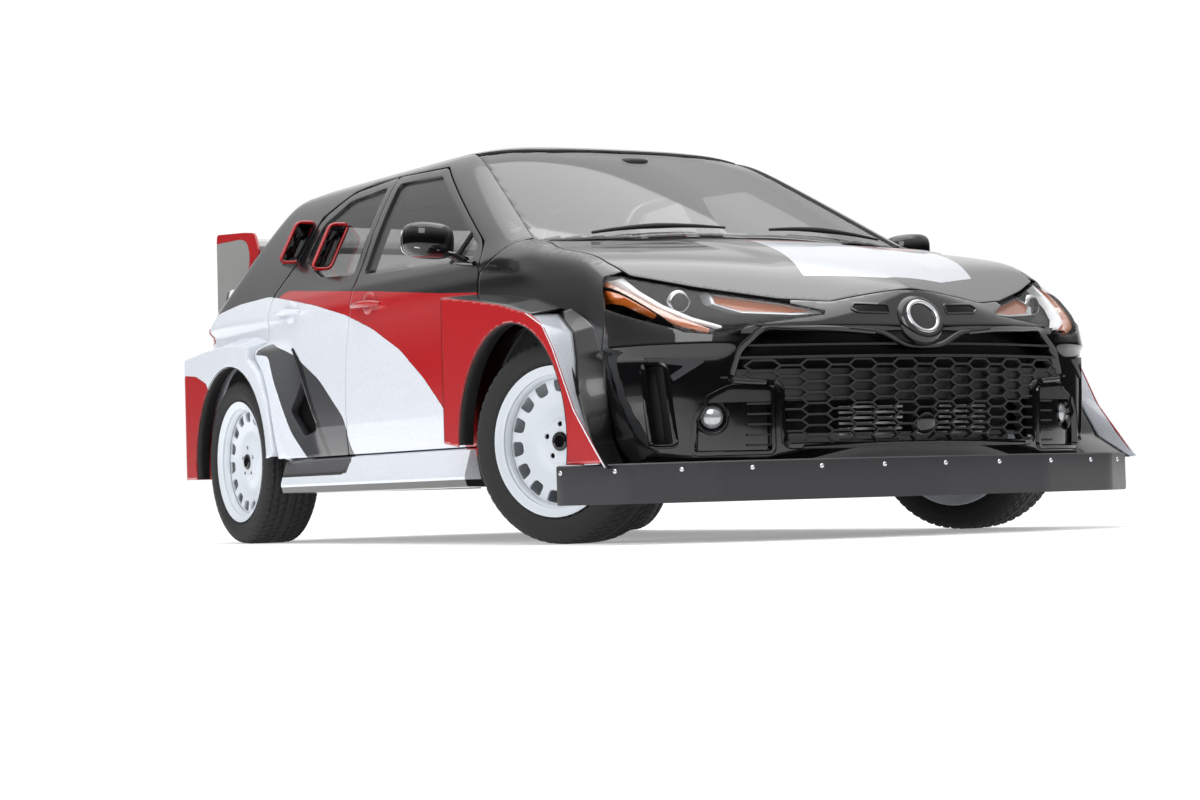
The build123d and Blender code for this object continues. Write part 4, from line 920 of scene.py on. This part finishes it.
# Well of each headlamp, near black in painted shade
lamp_loop = walk(LAMP_EDGE, 8.0)
lamp_well = joined(ruled(on_nose(lamp_loop, 1), on_nose(scaled(lamp_loop, -6), 60), 4, True),
                   surface(from_front(58), scaled(LAMP_EDGE, -4), (), 12.0))
piece("headlamp_well_{}", lamp_well, SHADE_BLACK, "lamp_lens", node="headlamps", smooth=40)
for part, shape, material in (
        ("guide", ribbon(LIGHT_STRIP, (20, 17, 17, 14, 8), 14, 40), GUIDE),
        ("amber", ribbon(AMBER_STRIP, (18, 26, 30, 28, 16), 10, 40), AMBER),
        ("indicator", surface(from_front(20), rounded(INDICATOR, 8), (), 8.0), AMBER),
        ("indicator_rim", ribbon((*INDICATOR, INDICATOR[0]), 9, 12, 40, 80), CLEAR_RIB),
        ("projector_ring", projector(PROJECTOR_RING), BRIGHT),
        ("projector", projector(PROJECTOR_LENS), LENS)):
    piece(f"headlamp_{part}_{{}}", shape, material, "lamp_lens")
skin("headlamp_lens_{}", from_front(1), scaled(LAMP_EDGE, -1.5), cell=10.0, slot="lamp_lens",
     materials=(LENS,), edge=0)

# Fog lamps in bowls, each in a framed pocket with slats on its inner side
pocket_loop = walk(POCKET_EDGE, 8.0)
pocket = joined(ruled(on_nose(pocket_loop, 0), on_nose(scaled(pocket_loop, -6), 19), 3, True),
                surface(from_front(18), scaled(POCKET_EDGE, -4), [ring(FOG, 50, 40)], 9.0))
slat_z = np.arange(296.0, 460.0, 32.0)
slat_ends = [nose_turn(np.column_stack([np.full_like(slat_z, x), slat_z])) for x in (514, 588)]
for part, shape, material in (("floor", pocket, GLOSS_BLACK), ("slats", bars(*slat_ends, 6, 4, 19), GRAINED),
                              ("frame", frame_bead(nose_holes[1], 15, 6, 10), GLOSS_BLACK)):
    piece(f"fog_pocket_{part}_{{}}", shape, material, "gloss_black", smooth=45)
fog_bowl = nose_disc(FOG, ((56, -17), (53, -12), (48, -16), (44, -28), (36, -40)))
piece("fog_bowl_{}", fog_bowl, GLOSS_BLACK, "dark_plastic", node="fog_lamps")
piece("fog_lens_{}", nose_disc(FOG, ((36, -38), (34, -28), (24, -22), (0, -19))), CLEAR_RIB, "lamp_lens")

# Tall corner vents: a recessed dark slot inside a raised frame, under a spear-shaped cover
SPEAR = ((850, 576), (706, 560), (790, 500), (797, 517), (762, 546), (842, 560))
vent_loop = walk(VENT_EDGE, 8.0)
vent = joined(ruled(on_nose(vent_loop, 0), on_nose(vent_loop, 45), 3, True),
              surface(from_front(44), scaled(VENT_EDGE, 2), (), 12.0))
piece("corner_vent_{}", vent, GRAINED, "dark_plastic", smooth=40)
piece("corner_vent_frame_{}", frame_bead(nose_holes[2], 16, 6, 10), GLOSS_BLACK, "gloss_black", smooth=60)
piece("vent_spear_{}", slab(rounded(SPEAR, 3), from_front(-5), from_front(6), 5.0), DAM_SHEET, "gloss_black",
      smooth=40)

# Dam: one bent sheet, its section as (height, share of the plan), with a row of bright bolts
DAM_HALF = ((0, -960), (420, -930), (760, -830), (960, -660), (1062, -400), (1062, -372))
DAM_PLAN = np.vstack([np.multiply(DAM_HALF[:0:-1], (-1, 1)), DAM_HALF])
DAM_SECTION = ((249, 0.94), (249, 0.996), (245, 1.0), (130, 1.0), (125, 0.997), (125, 0.985), (238, 0.985),
               (241, 0.94))
BOLTS, BOLT_Z, BOLT_SIDES = 13, 226.0, 16
BOLT_HEAD = ((8, 0), (7.6, 2.5), (5, 4.5), (0.01, 5))
dam_path = along(DAM_PLAN, 120)
dam = np.stack([np.column_stack([dam_path * share, np.full(len(dam_path), z)]) for z, share in DAM_SECTION])
dam_faces = grid_faces(len(DAM_SECTION), len(dam_path), True, False)
piece("dam_sheet", (dam.reshape(-1, 3), dam_faces), DAM_SHEET, "dark_plastic", node="air_dam", smooth=40)
bolt_at = along(DAM_PLAN[1:-1], BOLTS)
left = across(np.gradient(bolt_at, axis=0))[:, None]
t = np.linspace(0, 2 * pi, BOLT_SIDES, endpoint=False)[None]
upright = np.broadcast_to(np.sin(t), (BOLTS, BOLT_SIDES))
flat = np.stack([np.cos(t) * left[..., 1], -np.cos(t) * left[..., 0], upright], -1)
out = np.dstack([-left, np.zeros((BOLTS, 1))])
centre = np.dstack([bolt_at[:, None], np.full((BOLTS, 1), BOLT_Z)])
heads = np.stack([centre + radius * flat + height * out for radius, height in BOLT_HEAD], 1)
head_faces = grid_faces(len(BOLT_HEAD), BOLT_SIDES, False, True)
bolt_faces = head_faces[None] + len(BOLT_HEAD) * BOLT_SIDES * np.arange(BOLTS)[:, None, None]
piece("dam_bolts", (heads.reshape(-1, 3), bolt_faces.reshape(-1, 4)), BRIGHT, "dark_plastic")


# Skirts, mirrors, handles, scoops, wing, wipers and seats

def prism(profile, start, end, rows):
    """Closed bar along y: rows of one (x, z) profile between two places, its ends drawn to their middle."""
    p = np.asarray(profile, float)
    middle = np.broadcast_to(p.mean(0), p.shape)
    places = np.concatenate([[start], np.linspace(start, end, rows), [end]])
    loops = np.stack([middle] + [p] * rows + [middle])
    y = np.broadcast_to(places[:, None], loops.shape[:2])
    points = np.stack([loops[..., 0], y, loops[..., 1]], -1)
    return points.reshape(-1, 3), grid_faces(len(loops), len(p), False, True)[:, ::-1]


def pebble(centre, radii, power=0.6, count=40):
    """Rounded block: a ball whose sines and cosines are raised to a power, so lower powers are squarer."""
    lean, turn = np.meshgrid(np.linspace(-pi / 2, pi / 2, count),
                             np.linspace(0, 2 * pi, 2 * count, endpoint=False), indexing="ij")

    def bent(wave):
        return np.sign(wave) * abs(wave) ** power
    points = np.stack([bent(np.cos(lean)) * bent(np.cos(turn)), bent(np.cos(lean)) * bent(np.sin(turn)),
                       bent(np.sin(lean))], -1)
    return points.reshape(-1, 3) * radii + centre, grid_faces(count, 2 * count, False, True)


SKIRT = rounded(((830, 195), (935, 198), (945, 232), (918, 326), (830, 326)), 8)
SKIRT_EDGE_Z = 222.0      # white above, dark below
skirt = prism(SKIRT, 522, 2168, 40)
for obj in piece("side_skirt_{}", skirt, PAINT, "paint_dark", node="side_skirts", smooth=30):
    p = mesh_points(obj)
    dark = outline_gap(p[:, 1:], DARK_PANEL)
    paint_mask(obj, "white", np.minimum(p[:, 2] - SKIRT_EDGE_Z, -dark))
    paint_mask(obj, "grey", dark)

MIRROR, MIRROR_RADII = (1004, 628, 1050), (92, 64, 62)
cap, cap_faces = pebble(MIRROR, MIRROR_RADII, 0.62)
outwards = cap[:, 0] - MIRROR[0]
cap[:, 2] += outwards * 0.06
cap[:, 1] += 22 * (outwards / MIRROR_RADII[0]) ** 2 * (cap[:, 1] < 640)
STALK = ((862, 640, 985), (890, 635, 990), (925, 630, 1002), (950, 628, 1022))
STALK_FOOT = ((866, 560, 968), (862, 640, 978), (856, 720, 984))
stalk = joined(tube(STALK, (22, 20, 18, 24), 16, flat=0.6), tube(STALK_FOOT, (10, 15, 8), 12, flat=0.8))
trim_line = tube(((925, 588, 1004), (1000, 570, 1012), (1080, 588, 1022)), 2.6, 8)
for part, shape, material in (("shell", (cap, cap_faces), GLOSS_BLACK),
                              ("face", pebble((1004, 690, 1052), (80, 4, 50), 0.5, 24), BRIGHT),
                              ("stalk", stalk, GLOSS_BLACK), ("line", trim_line, BRIGHT)):
    piece(f"mirror_{part}_{{}}", shape, material, "gloss_black", "door_front_{}",
          "mirror_{}" if part == "shell" else None, 60)
divider = tube(from_side(3)[0](*along(((768, 984), (690, 1086)), 12).T), 9, 10)
piece("window_divider_{}", divider, GRAINED, "dark_plastic", "door_front_{}", smooth=60)

HANDLE_REACH = 95.0
for place, y, z, tint in (("front", 1430, 888, RED), ("rear", 2200, 912, WHITE)):
    x = from_side()[0](y + HANDLE_REACH * np.array((-1, 0, 1)), np.full(3, float(z)))[:, 0]
    grip = tube(((x[0] - 4, y - 100, z - 3), (x[0] + 22, y - 80, z), (x[1] + 30, y, z + 2),
                 (x[2] + 22, y + 80, z + 2), (x[2] - 4, y + 100, z)), (12, 15, 17, 15, 12), 16, flat=0.8)
    cup = pebble((x[1] - 6, y - 8, z), (13, 52, 48), 0.9, 24)
    piece(f"handle_{place}_{{}}", joined(grip, cup), tint, "paint_dark", f"door_{place}_{{}}", smooth=60)


def scoop(mouth, tail, foot, top):
    """Air scoop: rounded loops from the mouth back to a thin tail on the glass, and a frame round it."""
    inner = CABIN_SIDE(np.array([foot[1], top[1]], float))[0] - 14
    section = rounded(((inner[0], foot[1]), foot, top, (inner[1], top[1])), 26, 8)
    shut = np.column_stack([np.interp(section[:, 1], (foot[1], top[1]), inner), section[:, 1]])

    def loop_at(y, flat):
        return np.column_stack([flat[:, 0], np.full(len(flat), y), flat[:, 1]])

    def narrowed(t):
        return section * (1 - t) + shut * t
    shares = np.linspace(0, 1, 12) ** 1.3
    outside = np.stack([loop_at(mouth + t * (tail - mouth), narrowed(t)) for t in shares])
    throat = narrowed(0.25)
    inside = np.stack([loop_at(mouth, scaled(section, -9)), loop_at(mouth + 70, scaled(throat, -9)),
                       loop_at(mouth + 72, scaled(throat, -70))])
    shell = joined((outside.reshape(-1, 3), grid_faces(len(outside), len(section), False, True)),
                   (inside.reshape(-1, 3), grid_faces(len(inside), len(section), False, True)[:, ::-1]))
    return shell, tube(loop_at(mouth - 1, walk(scaled(section, -4), 8)), 7, 10, True)


# Columns: place, body, node, then mouth and tail as y, foot and top as (x, z)
for place, body, node, *sizes in (
        ("door", "door_rear_{}", "scoop_door_{}", 1952, 2118, (886, 1064), (800, 1248)),
        ("quarter", "shell", "quarter_scoops", 2338, 2498, (861, 1124), (778, 1294))):
    shell, rim = scoop(*sizes)
    piece(f"scoop_{place}_{{}}_shell", shell, GLOSS_BLACK, "gloss_black", body, node)
    piece(f"scoop_{place}_{{}}_frame", rim, RED, "gloss_black", body, smooth=60)

BLADE = ((3000, 1228), (3060, 1262), (3220, 1298), (3424, 1330), (3428, 1320), (3220, 1276), (3060, 1236))
END_PLATE = ((2940, 1225), (2990, 1310), (3100, 1322), (3426, 1342), (3430, 990), (3372, 980), (3310, 1088),
             (3110, 1092), (3030, 1140))
PLATE_RED = ((2900, 1130), (2900, 1380), (3500, 1380), (3500, 1305), (3120, 1296), (3060, 1270), (3040, 1200),
             (3120, 1060))
WING_POST = ((3060, 1250), (3130, 1262), (3215, 1030), (3130, 1030))
WING = {"slot": "gloss_black", "body": "tailgate", "smooth": 30}
blade = slab(rounded(BLADE, 10), plane_x(690), plane_x(-690), 12.0)
plate = slab(rounded(END_PLATE, 26), plane_x(702), plane_x(692), 8.0)
post = slab(rounded(WING_POST, 8), plane_x(432), plane_x(420), 10.0)
piece("wing_blade", blade, GLOSS_BLACK, node="rear_wing", **WING)
for obj in piece("wing_plate_{}", plate, PAINT, **WING):
    red = outline_gap(mesh_points(obj)[:, 1:], rounded(PLATE_RED, 40))
    paint_mask(obj, "red", red)
    paint_mask(obj, "pale", -red)
piece("wing_post_{}", post, GLOSS_BLACK, **WING)

# Sensor housing behind the top of the windscreen, wipers on its foot
housing_at = from_top(34, cabin_gap, CABIN_LEVEL)[0](np.array([0.0]), np.array([985.0]))[0]
piece("screen_sensor_housing", pebble(housing_at, (62, 70, 20), 0.6, 20), GRAINED, "dark_plastic", smooth=60)
share = np.linspace(0, 1, 24)
for name, *ends in (("driver", (120, 210), (640, 300)), ("passenger", (-560, 268), (-60, 214))):
    x, y = along(ends, len(share)).T
    path = from_top(-10, cabin_gap, CABIN_LEVEL)[0](x, y + 14 * np.sin(pi * share))
    wiper = tube(path, np.interp(share, (0, 0.5, 1), (5, 10, 4)), 8)
    piece(f"wiper_{name}", wiper, GRAINED, "dark_plastic", smooth=60)


def pad(centre, radii, power, channels):
    """Padded block drawn in along sewn channels, a cosine across x."""
    points, faces = pebble((0, 0, 0), radii, power, 48)
    wave = 0.5 - 0.5 * np.cos(points[:, 0] / radii[0] * pi * channels)
    return points * (1 - 0.035 * (1 - wave)[:, None]) + centre, faces


SEAT_X, SEAT_LEAN, FILL = 370.0, 0.35, 0.8
lean = np.array(((1, 0, 0), (0, cos(SEAT_LEAN), -sin(SEAT_LEAN)), (0, sin(SEAT_LEAN), cos(SEAT_LEAN))))
back, back_faces = pad((0, 0, 0), (215, 60, 290), 0.5, 3)
for name, node, shape in (
        ("front_seat_base_{}", "front_seats", pad((SEAT_X, 1190, 440), (225, 240, 100), 0.5, 3)),
        ("front_seat_back_{}", None, (back @ lean + (SEAT_X, 1500, 740), back_faces)),
        ("front_seat_headrest_{}", None, pebble((SEAT_X, 1590, 1020), (120, 45, 55), 0.6)),
        ("rear_bench_base", "rear_seat", pad((0, 2000, 400), (610, 220, 100), 0.4, 5)),
        ("rear_bench_back", None, pad((0, 2220, 690), (610, 62, 280), 0.4, 5))):
    for obj in piece(name, shape, FABRIC, "seat_fabric", node=node, smooth=80):
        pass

# Tail: corners with lamp openings, lamps, bumper
tail_edge = tail_turn(((592, 658), (647, 900), (643, 1052)))
TAIL_CORNER = np.vstack([tail_edge, [(742, 1046), (752, 900), (760, 656)]])
tail_lamp = tail_turn(rounded(TAIL_LAMP, 14))
for obj in skin("tail_corner_{}", round_tail(), rounded(TAIL_CORNER, 8), [tail_lamp], cell=10.0, wall=20.0):
    paint_side(obj)
skin("tail_lamp_{}", round_tail(-2), tail_lamp, cell=8.0, wall=30.0, edge=3, slot="lamp_lens",
     materials=(RED_LENS,), node="tail_lamps")
skin("rear_bumper_skin", round_tail(), rounded(both_halves(BUMPER_BACK_HALF), 20), wall=12.0,
     node="rear_bumper", **BLACK)


# Wheel-arch flares: an outer face, a sloping shelf back to the body and a return round the wheel

FRONT_FACE_X, REAR_FACE_X, LIP_R = 1030.0, 970.0, 385.0
FRONT_FLARE = ((497, 345), (497, 842), (269, 816), (49, 785), (-159, 741), (-240, 701), (-306, 626),
               (-440, 420), (-538, 325), (-612, 252), (-200, 252))
FRONT_ROOT = ((497, 345), (497, 856), (269, 834), (49, 806), (-110, 764))
REAR_FLARE = ((2197, 345), (2257, 556), (2341, 679), (2436, 738), (2436, 788), (2560, 797), (2730, 803),
              (2956, 790), (3140, 772), (3140, 270), (2900, 270))
REAR_ROOT = ((2197, 345), (2257, 556), (2341, 679), (2436, 738), (2436, 824), (2560, 852), (2730, 856),
             (2900, 830), (3140, 790), (3140, 270))
FLARE_RED = ((2862, 627), (2894, 666), (3009, 701), (3160, 712), (3160, 240), (2840, 240))
# Front flare's bevel: outer edge on the face (y, z), inner edge (x, y, z), then the bumper's side (y, z)
BEVEL_OUTER = ((-130, 747), (-240, 701), (-306, 626), (-440, 420), (-538, 325), (-630, 240))
BEVEL_INNER = ((897, -100, 748), (930, -258, 676), (946, -303, 590), (980, -364, 478), (992, -476, 312),
               (1018, -612, 238))
BUMPER_SIDE = ((-180, 760), (-330, 690), (-398, 600), (-408, 480), (-420, 330), (-470, 240))


def at_x(points, x):
    """Side-view points (y, z) set at x."""
    return np.column_stack([np.full(len(points), float(x)), points])


def by_number(points, steps):
    """A path with as many even steps between its points as any other path of as many points."""
    p = np.asarray(points, float)
    at = np.linspace(0, len(p) - 1, steps)
    return np.column_stack([np.interp(at, np.arange(len(p)), p[:, k]) for k in range(p.shape[1])])


def slope(outer, outer_x, inner, inner_x, steps, rows):
    """Straight lines from a side-view path at one x to another path at another x."""
    return ruled(at_x(by_number(outer, steps), outer_x), at_x(by_number(inner, steps), inner_x), rows)


def arch_return(outline, x, axle_y):
    """Band along the wheel opening from the face inwards, widening a little."""
    t = np.linspace(-pi, pi, 260)
    opening = np.column_stack([axle_y + LIP_R * np.sin(t), AXLE_Z + LIP_R * np.cos(t)])
    lip = opening[within(opening, np.asarray(outline, float))]
    inner = (axle_y, AXLE_Z) + (lip - (axle_y, AXLE_Z)) * 1.02
    return ruled(at_x(lip, x), at_x(inner, x - 60), 3)


def flare_face(outline, x, axle_y):
    """Flat outer face round the wheel opening."""
    return surface(plane_x(x), rounded(outline, 12), [ring((axle_y, AXLE_Z), LIP_R, 160)], 9.0)


bevel_inner, bumper_side = by_number(BEVEL_INNER, 60), by_number(BUMPER_SIDE, 60)
# Columns: place, part, colour (red, white, both or none), shape
for place, part, colour, shape in (
        ("front", "face", "red", flare_face(FRONT_FLARE, FRONT_FACE_X, 0)),
        ("front", "shelf", "", slope(FRONT_FLARE[1:5], FRONT_FACE_X, FRONT_ROOT[1:5], 886, 40, 8)),
        ("front", "rear_edge", "red", slope(FRONT_FLARE[:2], FRONT_FACE_X, FRONT_ROOT[:2], 886, 12, 8)),
        ("front", "bevel", "white", ruled(at_x(by_number(BEVEL_OUTER, 60), FRONT_FACE_X), bevel_inner, 10)),
        ("front", "closing", "", ruled(bevel_inner, from_side(2)[0](*bumper_side.T), 10)),
        ("front", "return", "", arch_return(FRONT_FLARE, FRONT_FACE_X, 0)),
        ("rear", "face", "both", flare_face(REAR_FLARE, REAR_FACE_X, WHEELBASE)),
        ("rear", "shelf", "both", slope(REAR_FLARE[:10], REAR_FACE_X, REAR_ROOT, 830, 80, 12)),
        ("rear", "return", "", arch_return(REAR_FLARE, REAR_FACE_X, WHEELBASE))):
    for obj in piece(f"{place}_flare_{part}_{{}}", shape, GRAINED if part == "return" else (PAINT, GRAINED),
                     "paint_dark", node=f"{place}_flares" if part == "face" else None):
        thicken(obj, 4)
        p = mesh_points(obj)
        if colour == "both":
            red = outline_gap(p[:, 1:], FLARE_RED)
            paint_mask(obj, "red", red)
            paint_mask(obj, "white", -red)
        elif colour:
            paint_mask(obj, colour, np.full(len(p), FULL))


# Wheels and tyres, made about the x axis and then set on each hub; profiles are (along the axle, radius)

TYRE_HALF = ((0, 334.5), (60, 334), (90, 332), (103, 326), (113, 312), (117, 285), (112, 262), (100, 247))
TYRE_PROFILE = np.vstack([np.multiply(TYRE_HALF[:0:-1], (-1, 1)), TYRE_HALF])
TREAD_R, TREAD_PITCH, TREAD_DEPTH, GROOVES = 334.0, 34.0, 7.0, (18.0, 52.0, 84.0)
DISC_R, CAP_R = 206.0, 31.0
WINDOWS, WINDOW = 15, rounded(((-20, 162), (20, 162), (27, 202), (-27, 202)), 12)
NUTS, NUT_CIRCLE, NUT_SEAT = 5, 57.15, 9.5
RIM = ((70, 206), (84, 210), (92, 222), (96, 236), (104, 245), (108, 246), (108, 242), (100, 232), (96, 218),
       (60, 212), (-90, 214), (-104, 236), (-108, 246), (-104, 250), (-80, 232), (60, 226), (92, 246))
CAP = ((58, 32), (76, 31), (79, 28), (80, 22), (78.5, 20), (78.5, 0))
NUT = ((52, 8.4), (66, 8.4), (69, 7), (69.5, 4), (66, 3.6), (66, 0))
BRAKE_DISC = ((6, 60), (6, 165), (26, 165), (26, 60))
HUB = (0, 0, 0)


def set_on_hub(shape, corner):
    """Shape about the x axis carried to a hub, along the wheel's own axle; its outer side faces outwards."""
    spin = next(j for j in frame["joints"] if j["name"] == f"wheel_{corner}_spin")
    axle = np.array(Vector(spin["axis"]).normalized())
    turn = np.array((axle, np.cross((0, 0, 1), axle), (0, 0, 1)))
    points, faces = shape if corner.endswith("left") else mirrored(shape)
    return points @ turn + np.array(spin["pos_m"]) * 1000 - (0, AXLE_Y, 0), faces


def tread(count=360):
    """Tyre: profile carried round the axle; rings and slanted grooves are steps of place and angle."""
    beside, radius = along(TYRE_PROFILE, 61).T
    t = np.linspace(0, 2 * pi, count, endpoint=False)[:, None]
    slant = np.mod(t * TREAD_R / TREAD_PITCH + beside / 62, 1.0)
    cross = step(0.16, 0.08, abs(slant - 0.5)) * step(14, 24, abs(beside))
    rings = sum(step(5.0, 2.5, abs(abs(beside) - at)) for at in GROOVES)
    r = radius - TREAD_DEPTH * step(128, 92, abs(beside)) * np.clip(cross * 0.8 + rings, 0, 1)
    points = np.stack([np.broadcast_to(beside, r.shape), r * np.sin(t), r * np.cos(t)], -1)
    return points.reshape(-1, 3), grid_faces(count, len(beside), True, False)


def dish(u, v):
    """Wheel disc: raised hub pad, shallow dish, rise to the rim."""
    r = np.hypot(u, v)
    return np.column_stack([62 + 10 * step(82, 66, r) - 7 * step(80, 110, r) + 12 * step(120, 190, r), u, v])


nut_angles = np.arange(NUTS) * 2 * pi / NUTS
nut_places = NUT_CIRCLE * np.column_stack([np.sin(nut_angles), np.cos(nut_angles)])
window_turns = np.arange(WINDOWS) * 2 * pi / WINDOWS
windows = [WINDOW @ np.array(((cos(a), sin(a)), (-sin(a), cos(a)))) for a in window_turns]
wheel_holes = [*windows, *(ring(place, NUT_SEAT, 24) for place in nut_places), ring((0, 0), CAP_R, 48)]
wheel_disc = surface((dish, (1, 0, 0)), ring((0, 0), DISC_R + 3, 180), wheel_holes, 4.5)
nuts = joined(*(turned(NUT, 12, (0, *place)) for place in nut_places))
# Columns: name, slot, material, smooth, shape
WHEEL_PIECES = (("wheel_disc_{}", "wheel_white", WHEEL_WHITE, 40, wheel_disc),
                ("wheel_rim_{}", "wheel_white", WHEEL_WHITE, 50, turned(RIM, 144, HUB)),
                ("wheel_cap_{}", "wheel_white", GLOSS_BLACK, 35, turned(CAP, 48, HUB)),
                # the nuts, sunk under the disc's face, are near black in painted shade
                ("wheel_bolts_{}", "wheel_white", SHADE_BLACK, 35, nuts),
                ("brake_disc_{}", "cast_aluminium", CAST, 35, turned(BRAKE_DISC, 96, HUB)),
                ("tyre_{}_tread", "tyre", TYRE, 60, tread()))
for corner in ("front_left", "front_right", "rear_left", "rear_right"):
    for name, slot, material, smooth, shape in WHEEL_PIECES:
        node = {"wheel_disc_{}": f"wheel_{corner}", "tyre_{}_tread": f"tyre_{corner}"}.get(name)
        placed = set_on_hub(shape, corner)
        obj, = piece(name.format(corner), placed, material, slot, f"wheel_{corner}", node, smooth)
        if name == "wheel_disc_{}":
            thicken(obj, 9)
            soften(obj, 1.6)


# Finishes of the solids that stay as they are

SLOT_FINISH = {"paint_dark": PAINT, "gloss_black": GLOSS_BLACK, "tinted_glass": TINTED, "lamp_lens": LENS,
               "dark_plastic": GRAINED, "seat_fabric": FABRIC, "chassis_steel": STEEL, "cast_aluminium": CAST,
               "exhaust_steel": BRUSHED, "wheel_white": WHEEL_WHITE, "tyre": TYRE}
for subpart in frame["record"]["subparts"]:
    solid = frame["nodes"][subpart["node"]]
    solid.data.materials.clear()
    solid.data.materials.append(SLOT_FINISH[subpart["material_slot"]])


# Stage, light and camera

def stage_floor():
    """Flat white floor under the wheels, with a faint glow of its own so that it fades into the screen."""
    size = 60000.0
    corners = np.array(((-size, -size, 0), (size, -size, 0), (size, size, 0), (-size, size, 0)))
    mesh = bpy.data.meshes.new("floor")
    mesh.from_pydata(metres(corners).tolist(), [], [(0, 1, 2, 3)])
    floor = bpy.data.objects.new("floor", mesh)
    bpy.context.scene.collection.objects.link(floor)
    mesh.materials.append(plain("studio_floor_paint", "#fbfbfb", 0.7, 900, 0.0, ("#f7f7f7", "#ffffff"),
                                Emission_Strength=0.3))


def studio_sky():
    """White studio: bright overhead and on the screen behind the car, dark low down elsewhere."""
    world = bpy.data.worlds.new("studio")
    bpy.context.scene.world = world
    world.use_nodes = True
    tree = world.node_tree
    tree.nodes.clear()
    place = add_node(tree, "ShaderNodeTexCoord")
    part = add_node(tree, "ShaderNodeSeparateXYZ", {"Vector": place.outputs["Generated"]})
    high = add_node(tree, "ShaderNodeMapRange", {"Value": part.outputs["Z"]}, in_1=0.10, in_2=0.55)
    behind = add_node(tree, "ShaderNodeVectorMath", {0: place.outputs["Generated"]}, operation="DOT_PRODUCT",
                      in_1=(0.48, 0.877, 0.0))
    screen = add_node(tree, "ShaderNodeMapRange", {"Value": behind.outputs["Value"]}, in_1=0.72, in_2=0.93)
    most = add_node(tree, "ShaderNodeMath", {0: high.outputs[0], 1: screen.outputs[0]}, operation="MAXIMUM")
    level = add_node(tree, "ShaderNodeMapRange", {"Value": most.outputs[0]}, in_3=0.03, in_4=1.02)
    shade = add_node(tree, "ShaderNodeBackground", {"Strength": level.outputs[0]}, in_Color=(1, 1, 1, 1))
    add_node(tree, "ShaderNodeOutputWorld", {"Surface": shade.outputs[0]})


def lamp(name, place, target, size, watts, lights=True, shines=True):
    """Soft panel facing a target, in metres; it lights matte surfaces, shines in glossy ones or both."""
    data = bpy.data.lights.new(name, "AREA")
    data.energy, data.size = watts, size
    obj = bpy.data.objects.new(name, data)
    turn = (Vector(target) - Vector(place)).to_track_quat("-Z", "Y").to_matrix().to_4x4()
    obj.matrix_world = Matrix.Translation(place) @ turn
    obj.visible_diffuse, obj.visible_glossy = lights, shines
    bpy.context.scene.collection.objects.link(obj)


def photo_camera():
    """Camera solved from the photograph: place, yaw, pitch and roll, focal length on a 36 mm wide sensor."""
    yaw, pitch, roll = radians(28.819), radians(1.979), radians(1.629)
    ahead = np.array((sin(yaw) * cos(pitch), cos(yaw) * cos(pitch), sin(pitch)))
    right = np.array((cos(yaw), -sin(yaw), 0))
    up = np.cross(right, ahead)
    right, up = cos(roll) * right - sin(roll) * up, sin(roll) * right + cos(roll) * up
    data = bpy.data.cameras.new("camera")
    data.sensor_width, data.lens = 36.0, 84.19
    data.clip_end = 500
    camera = bpy.data.objects.new("camera", data)
    turn = Matrix((right, up, -ahead)).transposed().to_4x4()
    camera.matrix_world = Matrix.Translation((-5.1575, -9.3512, 0.1494)) @ turn
    bpy.context.scene.collection.objects.link(camera)
    bpy.context.scene.camera = camera


stage_floor()
studio_sky()
lamp("ceiling", (0, 0, 6.5), (0, 0, 0), 9.0, 220)
lamp("overhead_card", (0, -0.5, 6.2), (0, -0.5, 0), 7.0, 190, lights=False)
lamp("front_right_card", (-5.0, -8.0, 5.5), (-0.8, -2.0, 0.7), 5.0, 280, lights=False)
lamp("right_side_panel", (-11.0, -1.0, 3.4), (-0.9, 0.6, 0.6), 5.0, 380, shines=False)
photo_camera()
bpy.context.scene.view_settings.view_transform = "Standard"
